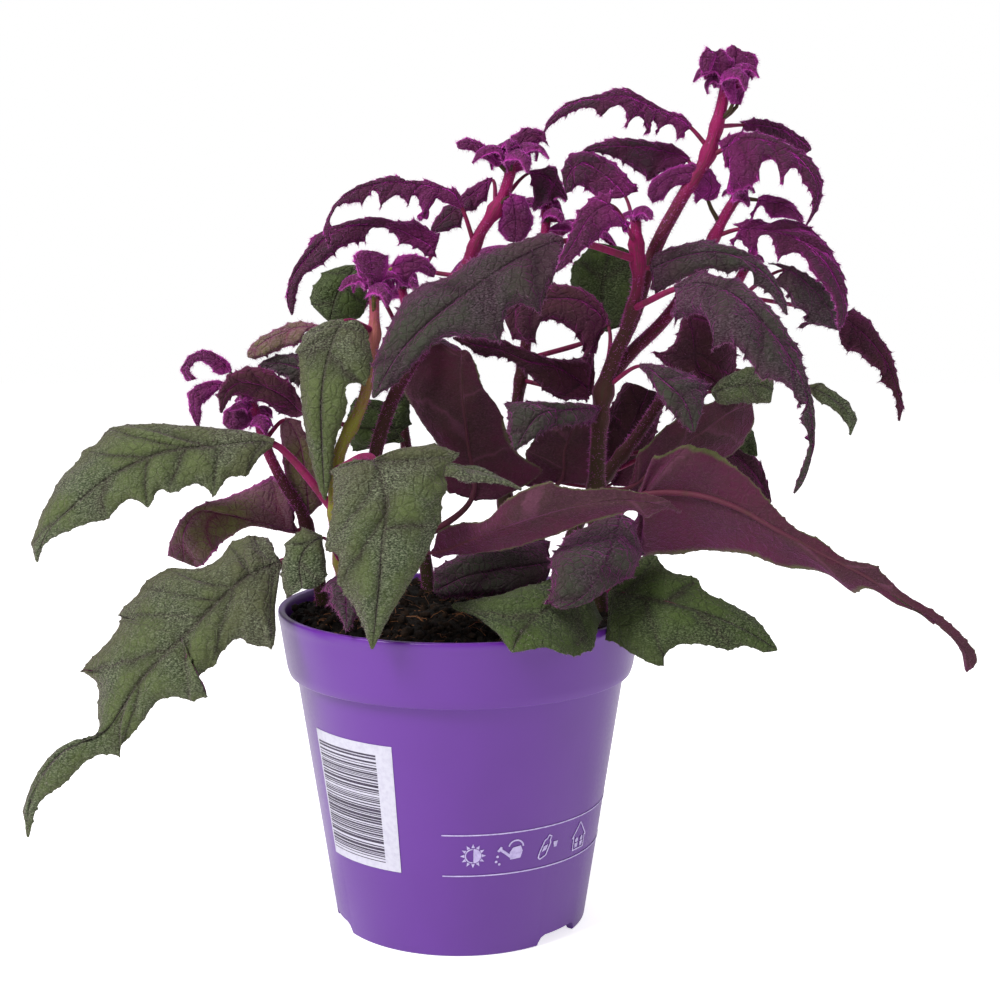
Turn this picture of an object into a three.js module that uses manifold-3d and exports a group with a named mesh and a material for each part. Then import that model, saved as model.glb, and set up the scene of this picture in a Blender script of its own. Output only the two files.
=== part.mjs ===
// A purple passion plant in its purple nursery pot. Millimetres, +Z up.
// The origin is the centre of the pot's foot, on the surface that the pot stands on.
// The plant's front is -Y and its longest spread is along X.
import * as THREE from "three";
import { mergeVertices } from "three/addons/utils/BufferGeometryUtils.js";
import Module from "manifold-3d";

const wasm = await Module();
wasm.setup();

// Driving sizes of the pot
const POT_HEIGHT = 109;
const RIM_RADIUS = 62.2;
const COLLAR_HEIGHT = 22;
const COLLAR_LOWER_RADIUS = 58.7;
const BODY_TOP_RADIUS = 56.2;
const FOOT_RADIUS = 43.4;
const WALL = 1.4;
const FLOOR_RISE = 3.6;
const HUB_RADIUS = 20;
const FOOT_RING_WIDTH = 4;
const POT_SIDES = 32;
const NOTCH_COUNT = 3;
const NOTCH_WIDTH = 20;
const NOTCH_BEARING = -160;
const DRAIN_RADIUS = 4;

// Driving sizes of the soil
const SOIL_EDGE_HEIGHT = 105.5;
const SOIL_CROWN = 3;
const SOIL_SIDES = 24;

// Driving sizes of the plant
const STEM_SIDES = 6;
const STEM_STEP = 16;
const BLADE_THICKNESS = 0.76;
const RIB_THICKNESS = 1.7;
const STALK_RADIUS = 1.15;
const GAP = 0.3;
const GOLDEN_ANGLE = 137.5;

// The front view that leaves are drawn in: a square sheet, seen through a lens and
// measured from its upper left corner
const VIEW_SIZE = 1000;
const VIEW_LENS = 63;
const VIEW_FILM = 36;
const VIEW_PITCH = 8;
const VIEW_EYE = new THREE.Vector3(13.6, -590, 228);

const EAST = new THREE.Vector3(1, 0, 0);
const UP = new THREE.Vector3(0, 0, 1);

const radians = THREE.MathUtils.degToRad;
const vector = (p) => new THREE.Vector3(...p);

// Solids

function solidOf(geometry) {
  const bare = geometry.clone();
  bare.deleteAttribute("normal");
  bare.deleteAttribute("uv");
  const merged = mergeVertices(bare, 1e-4);
  return new wasm.Manifold(
    new wasm.Mesh({
      numProp: 3,
      vertProperties: new Float32Array(merged.attributes.position.array),
      triVerts: new Uint32Array(merged.index.array),
    }),
  );
}

function geometryOf(solid) {
  const mesh = solid.getMesh();
  const geometry = new THREE.BufferGeometry();
  geometry.setAttribute("position", new THREE.BufferAttribute(mesh.vertProperties, 3));
  geometry.setIndex(new THREE.BufferAttribute(mesh.triVerts, 1));
  geometry.computeVertexNormals();
  return geometry;
}

function material(colour, roughness) {
  return new THREE.MeshStandardMaterial({ color: colour, roughness, metalness: 0 });
}

const MATERIALS = {
  pot: material(0x7d4fa8, 0.35),
  soil: material(0x2a1d16, 0.95),
  stem: material(0x8c4668, 0.6),
  mature: material(0x55603f, 0.7),
  dark: material(0x4b4248, 0.7),
  underside: material(0x6e3264, 0.7),
};

// Pot: collar, tapered body, raised floor with a hub, and three drain notches through the foot

function potProfile() {
  const collarBase = POT_HEIGHT - COLLAR_HEIGHT;
  const inner = (radius) => radius - WALL;
  return [
    [0, 0],
    [HUB_RADIUS, 0],
    [HUB_RADIUS + 1.5, FLOOR_RISE],
    [FOOT_RADIUS - FOOT_RING_WIDTH, FLOOR_RISE],
    [FOOT_RADIUS - FOOT_RING_WIDTH + 1.2, 0],
    [FOOT_RADIUS - 0.6, 0],
    [FOOT_RADIUS, 0.8],
    [BODY_TOP_RADIUS, collarBase],
    [COLLAR_LOWER_RADIUS - 0.8, collarBase],
    [COLLAR_LOWER_RADIUS, collarBase + 1],
    [COLLAR_LOWER_RADIUS + 0.9, collarBase + 3.5],
    [RIM_RADIUS, POT_HEIGHT - 1.6],
    [RIM_RADIUS - 0.5, POT_HEIGHT],
    [RIM_RADIUS - 2.4, POT_HEIGHT],
    [RIM_RADIUS - 2.9, POT_HEIGHT - 1.6],
    [COLLAR_LOWER_RADIUS - 0.8, collarBase + 2.6],
    [inner(BODY_TOP_RADIUS), collarBase - 1],
    [inner(FOOT_RADIUS) + 0.6, FLOOR_RISE + WALL + 1.4],
    [inner(FOOT_RADIUS) - 0.8, FLOOR_RISE + WALL],
    [0, FLOOR_RISE + WALL],
  ];
}

function lathe(profile, sides) {
  const points = profile.map(([radius, height]) => new THREE.Vector2(radius, height));
  const geometry = new THREE.LatheGeometry(points, sides);
  geometry.rotateX(Math.PI / 2);
  return solidOf(geometry);
}

function notchCutter(bearing) {
  const outline = new THREE.Shape();
  outline.moveTo(-NOTCH_WIDTH / 2, -1);
  outline.lineTo(NOTCH_WIDTH / 2, -1);
  outline.lineTo(NOTCH_WIDTH / 2 - 2.4, FLOOR_RISE);
  outline.lineTo(-NOTCH_WIDTH / 2 + 2.4, FLOOR_RISE);
  outline.closePath();
  const depth = FOOT_RING_WIDTH + 6;
  const cutter = new THREE.ExtrudeGeometry(outline, { depth, bevelEnabled: false });
  cutter.rotateX(Math.PI / 2);
  cutter.translate(0, FOOT_RADIUS + 3, 0);
  cutter.rotateZ(radians(bearing - 90));
  return solidOf(cutter);
}

function drainCutter(bearing) {
  const hole = new THREE.CylinderGeometry(DRAIN_RADIUS, DRAIN_RADIUS, 20, 12);
  hole.rotateX(Math.PI / 2);
  hole.translate(FOOT_RADIUS - FOOT_RING_WIDTH - DRAIN_RADIUS - 0.8, 0, 4);
  hole.rotateZ(radians(bearing));
  return solidOf(hole);
}

function makePot() {
  let pot = lathe(potProfile(), POT_SIDES);
  for (let i = 0; i < NOTCH_COUNT; i++) {
    const bearing = NOTCH_BEARING + (i * 360) / NOTCH_COUNT;
    pot = pot.subtract(notchCutter(bearing)).subtract(drainCutter(bearing));
  }
  return pot;
}

// Soil: fills the pot to just under the rim, with a lumpy crown

function lumpHeight(x, y) {
  const waves = Math.sin(x * 0.31 + 1.3) * Math.cos(y * 0.27) + Math.sin((x - y) * 0.19);
  const fall = 1 - (x * x + y * y) / (RIM_RADIUS * RIM_RADIUS);
  return SOIL_CROWN * fall + 0.6 * waves;
}

function makeSoil() {
  const collarBase = POT_HEIGHT - COLLAR_HEIGHT;
  const clear = WALL + GAP;
  const edge = RIM_RADIUS - 2.9 - 0.9;
  const profile = [
    [0, FLOOR_RISE + WALL + GAP],
    [FOOT_RADIUS - clear - 1.6, FLOOR_RISE + WALL + GAP],
    [BODY_TOP_RADIUS - clear - 0.5, collarBase - 2],
    [COLLAR_LOWER_RADIUS - 2, collarBase + 3],
    [edge, SOIL_EDGE_HEIGHT],
    [edge * 0.8, SOIL_EDGE_HEIGHT + 0.01],
    [edge * 0.55, SOIL_EDGE_HEIGHT + 0.02],
    [edge * 0.28, SOIL_EDGE_HEIGHT + 0.03],
    [0, SOIL_EDGE_HEIGHT + 0.04],
  ];
  const points = profile.map(([radius, height]) => new THREE.Vector2(radius, height));
  const geometry = new THREE.LatheGeometry(points, SOIL_SIDES);
  geometry.rotateX(Math.PI / 2);
  const place = geometry.attributes.position;
  for (let i = 0; i < place.count; i++) {
    const top = place.getZ(i) - SOIL_EDGE_HEIGHT;
    if (top > 0.005) {
      place.setZ(i, SOIL_EDGE_HEIGHT + lumpHeight(place.getX(i), place.getY(i)));
    }
  }
  return solidOf(geometry);
}

// Stems: hand-set routes from inside the soil to the shoot's tip, with the radius at each end

const STEMS = {
  tall: {
    route: [[47, -2, 92], [47, -4, 120], [46, -6, 149], [48, -8, 182], [52, -8, 195],
      [58, -6, 208], [65, 0, 229], [76, 6, 249], [82, 8, 258], [86, 8, 270], [90, 8, 288]],
    radii: [3.2, 1.9],
    tip: { count: 5, low: 0.965, length: 24, rise: 92, droop: 185, width: 13 },
    sprigs: [
      { height: 272, depths: [5, 2, 0],
        rib: [[733, 104], [722, 78], [716, 54], [704, 52], [702, 74]],
        left: [[724, 90], [712, 62], [706, 46], [699, 62]],
        right: [[736, 84], [734, 58], [720, 48], [709, 72]] },
      { height: 272, depths: [10, 12, 10],
        rib: [[738, 104], [736, 76], [738, 50], [748, 60], [752, 80]],
        left: [[728, 88], [722, 60], [732, 43], [744, 68]],
        right: [[746, 88], [748, 66], [752, 52], [756, 76]] },
    ],
    branches: [
      { route: [[55, -7, 201], [59, -10, 218], [58, -12, 233], [58, -12, 240]], radii: [2.2, 1.7],
        tip: { count: 2, low: 0.975, length: 15, rise: 75, droop: 150, width: 10 } },
      { route: [[49, -8, 186], [58, -4, 196], [68, 2, 205], [78, 8, 218], [86, 12, 233],
        [90, 12, 241], [95, 12, 249]], radii: [2.3, 1.7],
        tip: { count: 2, low: 0.95, length: 14, rise: 60, droop: 140, width: 9 },
        sprigs: [
          { height: 238, depths: [10, 2], turn: -10,
            rib: [[708, 200], [711, 186], [696, 174], [670, 177], [648, 196]],
            left: [[702, 198], [694, 201], [690, 187], [677, 187], [665, 200], [652, 203]],
            right: [[716, 199], [722, 184], [712, 168], [692, 162], [668, 168], [650, 182]] },
          { height: 247, depths: [8, 5], turn: 10,
            rib: [[758, 200], [778, 203], [794, 211], [802, 222]],
            left: [[765, 194], [783, 197], [797, 206], [804, 218]],
            right: [[749, 221], [760, 206], [771, 219], [792, 219]] },
        ] },
    ],
  },
  brown: {
    route: [[-31, -6, 92], [-31, -6, 112], [-30, -8, 139], [-28, -10, 162], [-20, -8, 185],
      [-11, -2, 199], [-3, 2, 213], [3, 4, 226], [7, 4, 235], [14, 4, 246], [19, 4, 262]],
    radii: [2.6, 1.8],
    tip: { count: 6, low: 0.955, length: 25, rise: 88, droop: 175, width: 13 },
    sprigs: [
      { height: 238, depths: [1, 4],
        rib: [[510, 196], [515, 212], [516, 228], [515, 242]],
        left: [[526, 196], [532, 212], [535, 226], [524, 240]],
        right: [[502, 203], [500, 216], [497, 232], [506, 241]] },
      { height: 254, depths: [2, 0], turn: -10,
        rib: [[500, 165], [484, 150], [468, 142], [458, 148]],
        left: [[494, 166], [482, 158], [470, 150], [463, 150]],
        right: [[492, 152], [480, 140], [466, 136], [456, 143]] },
      { height: 254, depths: [6, 8],
        rib: [[512, 165], [520, 145], [532, 132], [546, 140]],
        left: [[508, 152], [512, 134], [528, 126], [545, 132]],
        right: [[522, 160], [534, 150], [542, 142], [549, 146]] },
    ],
  },
  yellow: {
    route: [[-39, -14, 92], [-38, -14, 113], [-41, -16, 141], [-40, -16, 161], [-32, -14, 179],
      [-30, -12, 187], [-28, -10, 203], [-28, -10, 220]],
    radii: [2.7, 1.6],
    tip: { count: 4, low: 0.945, length: 22, rise: 76, droop: 165, width: 12 },
    sprigs: [
      { height: 214, depths: [-10, -8], turn: 10,
        rib: [[392, 268], [411, 262], [427, 267], [434, 277]],
        left: [[398, 255], [413, 253], [428, 258], [436, 270]],
        right: [[396, 288], [409, 287], [416, 272], [428, 276]] },
      { height: 206, depths: [-14, -22],
        rib: [[373, 285], [372, 268], [370, 251]],
        left: [[360, 285], [355, 268], [352, 256], [361, 250]],
        right: [[384, 285], [388, 270], [389, 256], [380, 252]] },
    ],
  },
  low_left: {
    route: [[-46, 6, 92], [-48, 6, 109], [-54, 4, 139], [-61, 2, 152], [-66, 0, 164],
      [-68, -2, 173], [-70, -4, 180]],
    radii: [2.5, 1.5],
    tip: { count: 3, low: 0.92, length: 15, rise: 40, droop: 120, width: 11 },
    sprigs: [
      { height: 178, depths: [-2, -6], turn: -10,
        rib: [[230, 372], [221, 360], [204, 353], [190, 359], [185, 370], [191, 380]],
        left: [[222, 375], [212, 372], [203, 362], [194, 363], [190, 371], [196, 379]],
        right: [[229, 362], [216, 353], [202, 349], [187, 356], [180, 370], [187, 381]] },
      { height: 175, depths: [-2, -8], turn: -10,
        rib: [[226, 385], [207, 387], [195, 394], [198, 427]],
        left: [[215, 393], [208, 401], [202, 405], [201, 418]],
        right: [[215, 380], [197, 385], [186, 393], [189, 411]] },
      { height: 172, depths: [-2, -4], turn: -10,
        rib: [[257, 407], [241, 404], [230, 412], [229, 429]],
        left: [[256, 421], [248, 428], [240, 431], [234, 431]],
        right: [[250, 401], [238, 402], [224, 411], [222, 424]] },
    ],
  },
  right: {
    route: [[33, 14, 92], [33, 14, 111], [45, 16, 143], [63, 20, 167], [77, 24, 188],
      [89, 28, 205], [97, 30, 218], [101, 30, 226]],
    radii: [2.7, 1.6],
    tip: { count: 3, low: 0.97, length: 15, rise: 75, droop: 140, width: 9 },
  },
  back_left: {
    route: [[-12, 26, 92], [-12, 27, 109], [-17, 32, 141], [-22, 36, 176], [-20, 38, 208],
      [-23, 38, 222]],
    radii: [2.6, 1.5],
    tip: { count: 3, low: 0.95, length: 19, rise: 65, droop: 130, width: 12 },
    sprigs: [
      { height: 212, azimuth: 125, length: 34, rise: 45, droop: 110, width: 15 },
      { height: 203, azimuth: 30, length: 42, rise: 35, droop: 100, width: 18 },
    ],
  },
  back_middle: {
    route: [[14, 28, 92], [14, 29, 108], [16, 36, 147], [21, 42, 183], [26, 46, 215],
      [30, 46, 238], [30, 46, 247]],
    radii: [2.8, 1.6],
    tip: { count: 3, low: 0.95, length: 19, rise: 65, droop: 130, width: 12 },
    sprigs: [
      { height: 236, azimuth: 15, length: 34, rise: 40, droop: 110, width: 15 },
      { height: 226, azimuth: 160, length: 44, rise: 35, droop: 100, width: 18 },
    ],
  },
};

function curveOf(route) {
  return new THREE.CatmullRomCurve3(route.map(vector), false, "centripetal");
}

// A round stem along a route, drawn in evenly to its radius at the tip
function stemSolid({ route, radii }, margin = 0) {
  const curve = curveOf(route);
  const steps = Math.max(4, Math.round(curve.getLength() / STEM_STEP));
  const section = new THREE.Shape();
  section.absarc(0, 0, 1, 0, Math.PI * 2, false);
  const geometry = new THREE.ExtrudeGeometry(section, {
    steps,
    extrudePath: curve,
    curveSegments: STEM_SIDES / 2,
    bevelEnabled: false,
  });
  const centres = curve.getSpacedPoints(steps);
  const place = geometry.attributes.position;
  const corner = new THREE.Vector3();
  for (let i = 0; i < place.count; i++) {
    corner.fromBufferAttribute(place, i);
    let nearest = 0;
    centres.forEach((centre, k) => {
      if (corner.distanceTo(centre) < corner.distanceTo(centres[nearest])) nearest = k;
    });
    const radius = THREE.MathUtils.lerp(radii[0], radii[1], nearest / steps) + margin;
    corner.sub(centres[nearest]).multiplyScalar(radius).add(centres[nearest]);
    place.setXYZ(i, corner.x, corner.y, corner.z);
  }
  return solidOf(geometry);
}

// The point on a route at a height, measured up from the soil
function pointAtHeight(route, height) {
  const curve = curveOf(route);
  const samples = curve.getSpacedPoints(160);
  return samples.reduce((best, p) =>
    Math.abs(p.z - height) < Math.abs(best.z - height) ? p : best,
  );
}

// Blades: one closed thin sheet with its stalk, drawn in the front view or formed from its sizes

const BLADE_DEFAULTS = {
  width: 18,
  stalk: 1,
  widest: 0.34,
  taper: 1.2,
  teeth: 2,
  notch: 0.4,
  cup: 12,
  turn: 0,
  base: 0,
  halves: 1,
  finish: "dark",
};
const YOUNG = { teeth: 1, cup: 35, notch: 0.35 };
const TIP_BEARING = -70;
const VEIN_SLANT = 1.2;
const TIP_HALF_WIDTH = 0.5;
const SHORT_STALK = 2;
const LEAST_STEP = 0.01;
const CROWN = 0.07;
const SEARCH_AHEAD = 0.3;
const STALK_MIDDLE = 0.6;
const STALK_FLARE = 1.2;
const MOST_STALK = 0.7;
const FACING_PULL = 0.3;
const ARCH_STEPS = 4;
const RIB_SAMPLES = 160;

// The point at a depth along Y that the front view shows at a place
function seenAt([right, down], depth) {
  const focal = (VIEW_SIZE * VIEW_LENS) / VIEW_FILM;
  const ray = new THREE.Vector3((right - VIEW_SIZE / 2) / focal, 1, (VIEW_SIZE / 2 - down) / focal);
  ray.applyAxisAngle(EAST, -radians(VIEW_PITCH));
  return ray.multiplyScalar((depth - VIEW_EYE.y) / ray.y).add(VIEW_EYE);
}

// The value at a share of the way along an evenly spread list
function valueAlong(list, share) {
  const place = share * (list.length - 1);
  const before = Math.min(list.length - 2, Math.floor(place));
  return THREE.MathUtils.lerp(list[before], list[before + 1], place - before);
}

// The rib of a leaf that leaves its stem at a slope and bends down evenly
function archedRib({ azimuth, length, rise, droop }, start) {
  const ahead = new THREE.Vector3(Math.cos(radians(azimuth)), Math.sin(radians(azimuth)), 0);
  const points = [start];
  for (let i = 0; i < ARCH_STEPS; i++) {
    const slope = radians(rise - (droop * (i + 0.5)) / ARCH_STEPS);
    const step = ahead.clone().multiplyScalar(Math.cos(slope)).addScaledVector(UP, Math.sin(slope));
    points.push(points[i].clone().addScaledVector(step, length / ARCH_STEPS));
  }
  return new THREE.CatmullRomCurve3(points, false, "centripetal");
}

function drawnRib({ rib, depths }, start) {
  const points = rib.map((place, i) => seenAt(place, valueAlong(depths, i / (rib.length - 1))));
  return new THREE.CatmullRomCurve3([start, ...points], false, "centripetal");
}

// A row of even width across a blade or its stalk
function evenRow(curve, share, half, facing, isStalk = false) {
  const centre = curve.getPointAt(share);
  const ahead = curve.getTangentAt(share);
  const normal = facing(centre, ahead);
  const side = normal.clone().cross(ahead).setLength(half);
  const left = centre.clone().add(side);
  const right = centre.clone().sub(side);
  return { share, centre, ahead, normal, left, right, isStalk };
}

// The rows of a blade drawn in the front view: each margin point lies beside the rib, turned back
// or forward with its side of the blade
function drawnRows(blade, curve, baseShare, facing) {
  const samples = curve.getSpacedPoints(RIB_SAMPLES);
  const count = blade.left.length;
  const besideRib = (place, first, last) => {
    let nearest = Math.round(first * RIB_SAMPLES);
    for (let i = nearest; i <= last * RIB_SAMPLES; i++) {
      const gap = (k) => seenAt(place, samples[k].y).distanceTo(samples[k]);
      if (gap(i) < gap(nearest)) nearest = i;
    }
    return nearest / RIB_SAMPLES;
  };
  const marginPoint = (place, share, hand) => {
    const beside = curve.getPointAt(share);
    const out = seenAt(place, beside.y).distanceTo(beside);
    const back = Math.tan(radians(blade.cup + hand * blade.turn));
    return seenAt(place, beside.y + out * back);
  };
  let leftShare = baseShare;
  let rightShare = baseShare;
  let along = 0;
  return blade.left.map((place, i) => {
    const last = Math.min(1, baseShare + (1 - baseShare) * ((i + 1) / count + SEARCH_AHEAD));
    leftShare = besideRib(place, leftShare, last);
    rightShare = besideRib(blade.right[i], rightShare, last);
    const middle = ((leftShare + rightShare) / 2 - baseShare) / (1 - baseShare);
    const most = 1 - LEAST_STEP * (count - i);
    along = Math.min(most, Math.max(along + LEAST_STEP, middle ** VEIN_SLANT));
    const row = evenRow(curve, baseShare + (1 - baseShare) * along, 1, facing);
    row.left = marginPoint(place, leftShare, 1);
    row.right = marginPoint(blade.right[i], rightShare, -1);
    return row;
  });
}

// Half the width of an untoothed blade at a share s of its length, as a share of its widest
function bladeOutline(s, { widest, taper }) {
  if (s < widest) return Math.pow(Math.sin((Math.PI / 2) * (s / widest)), 0.75);
  return Math.pow(Math.cos((Math.PI / 2) * ((s - widest) / (1 - widest))), taper);
}

// The rows of a blade formed from its sizes, with a tooth on one margin across from a notch
function formedRows(blade, curve, baseShare, facing) {
  const count = 2 * blade.teeth + 2;
  const cup = radians(blade.cup);
  return Array.from({ length: count - 1 }, (_, i) => {
    const along = (i + 1) / count;
    const row = evenRow(curve, baseShare + (1 - baseShare) * along, 1, facing);
    const half = (blade.width / 2) * bladeOutline(0.05 + 0.92 * along, blade);
    const reaches = [half * (1 + 0.35 * blade.notch), half * (1 - 0.65 * blade.notch)];
    if (i % 2 === 1) reaches.reverse();
    [row.left, row.right].forEach((margin, hand) => {
      margin.sub(row.centre).setLength(reaches[hand] * Math.cos(cup)).add(row.centre);
      margin.addScaledVector(row.normal, -reaches[hand] * Math.sin(cup));
    });
    return row;
  });
}

// The way out of a blade's face where it spreads from the rib, on the side that its row faces
function faceNormal({ ahead, normal }, spread) {
  const face = ahead.clone().cross(spread);
  if (face.dot(normal) < 0) face.negate();
  return face.normalize().addScaledVector(normal, FACING_PULL).normalize();
}

function thicknessAt(reach, { share, isStalk }, stalkRadius) {
  if (isStalk) return 2 * stalkRadius * (reach > 0.75 ? 0.5 : 1);
  const rib = reach === 0 ? 1 - 0.55 * share : 0;
  return BLADE_THICKNESS + (RIB_THICKNESS - BLADE_THICKNESS) * rib;
}

function bladeSolid(spec, start) {
  const blade = { ...BLADE_DEFAULTS, ...spec };
  const isDrawn = blade.rib !== undefined;
  const curve = isDrawn ? drawnRib(blade, start) : archedRib(blade, start);
  const length = curve.getLength();
  const tip = curve.getPoint(1);
  const across = new THREE.Vector3(start.y - tip.y, tip.x - start.x, 0);
  const facing = (centre, ahead) =>
    isDrawn ? VIEW_EYE.clone().sub(centre).normalize() : ahead.clone().cross(across).normalize();
  const stalk = isDrawn ? shareNearest(curve, seenAt(blade.rib[blade.base], blade.depths[0])) : 0;
  const baseShare = Math.min(MOST_STALK, isDrawn ? stalk : blade.stalk / length);
  const rows = (isDrawn ? drawnRows : formedRows)(blade, curve, baseShare, facing);
  const widest = Math.max(...rows.map(({ left, right }) => left.distanceTo(right)));
  const stalkRadius = STALK_RADIUS * THREE.MathUtils.clamp(widest / 30, 0.65, 1.2);
  const hasStalk = baseShare * length > SHORT_STALK;
  rows.unshift(evenRow(curve, hasStalk ? baseShare : 0, stalkRadius * STALK_FLARE, facing));
  if (hasStalk) {
    rows.unshift(evenRow(curve, baseShare * STALK_MIDDLE, stalkRadius, facing, true));
    rows.unshift(evenRow(curve, 0, stalkRadius, facing, true));
  }
  rows.push(evenRow(curve, 1, TIP_HALF_WIDTH, facing));
  return bladeSheet(rows, blade, stalkRadius);
}

function shareNearest(curve, point) {
  const gaps = curve.getSpacedPoints(RIB_SAMPLES).map((sample) => sample.distanceTo(point));
  return gaps.indexOf(Math.min(...gaps)) / RIB_SAMPLES;
}

// The two faces of a blade over its rows, crowned between rib and margin, with the rib proud below
function bladeSheet(rows, { halves, finish }, stalkRadius) {
  const columns = halves * 2 + 1;
  const upper = finish === "underside" ? -1 : 1;
  const top = [];
  const under = [];
  for (const row of rows) {
    for (let k = 0; k < columns; k++) {
      const reach = Math.abs(k - halves) / halves;
      const margin = k < halves ? row.right : row.left;
      const from = reach === 0 ? row.right : row.centre;
      const normal = faceNormal(row, margin.clone().sub(from));
      const crown = halves > 1 && reach === 0.5 ? CROWN * margin.distanceTo(row.centre) : 0;
      const spot = row.centre.clone().lerp(margin, reach).addScaledVector(normal, crown);
      const thickness = thicknessAt(reach, row, stalkRadius);
      const above = row.isStalk ? thickness / 2 : BLADE_THICKNESS / 2;
      top.push(spot.clone().addScaledVector(normal, upper * above));
      under.push(spot.clone().addScaledVector(normal, upper * (above - thickness)));
    }
  }
  return sheetSolid(top, under, columns, rows.length);
}

// Closes two matching grids of points, split alike on both faces, into one thin solid
function sheetSolid(top, under, columns, rows) {
  const points = [...top, ...under];
  const shift = top.length;
  const faces = [];
  const quad = (a, b, c, d) => faces.push(a, b, c, a, c, d);
  for (let r = 0; r + 1 < rows; r++) {
    for (let c = 0; c + 1 < columns; c++) {
      const a = r * columns + c;
      const b = a + columns;
      quad(a, b, b + 1, a + 1);
      faces.push(a + shift, b + 1 + shift, b + shift);
      faces.push(a + shift, a + 1 + shift, b + 1 + shift);
    }
    const near = r * columns;
    const far = near + columns - 1;
    quad(near, near + shift, near + columns + shift, near + columns);
    quad(far, far + columns, far + columns + shift, far + shift);
  }
  for (let c = 0; c + 1 < columns; c++) {
    const last = (rows - 1) * columns + c;
    quad(c, c + 1, c + 1 + shift, c + shift);
    quad(last, last + shift, last + 1 + shift, last + 1);
  }
  const geometry = new THREE.BufferGeometry();
  geometry.setAttribute(
    "position",
    new THREE.BufferAttribute(new Float32Array(points.flatMap((p) => [p.x, p.y, p.z])), 3),
  );
  geometry.setIndex(faces);
  const solid = solidOf(geometry);
  if (solid.volume() >= 0) return solid;
  geometry.setIndex([...faces].reverse());
  return solidOf(geometry);
}

// Leaves: the stem and the height on it, then the rib and both margins as hand-read places of the
// front view, from base to tip, with the depths of the rib along Y and the turn of the blade

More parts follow.
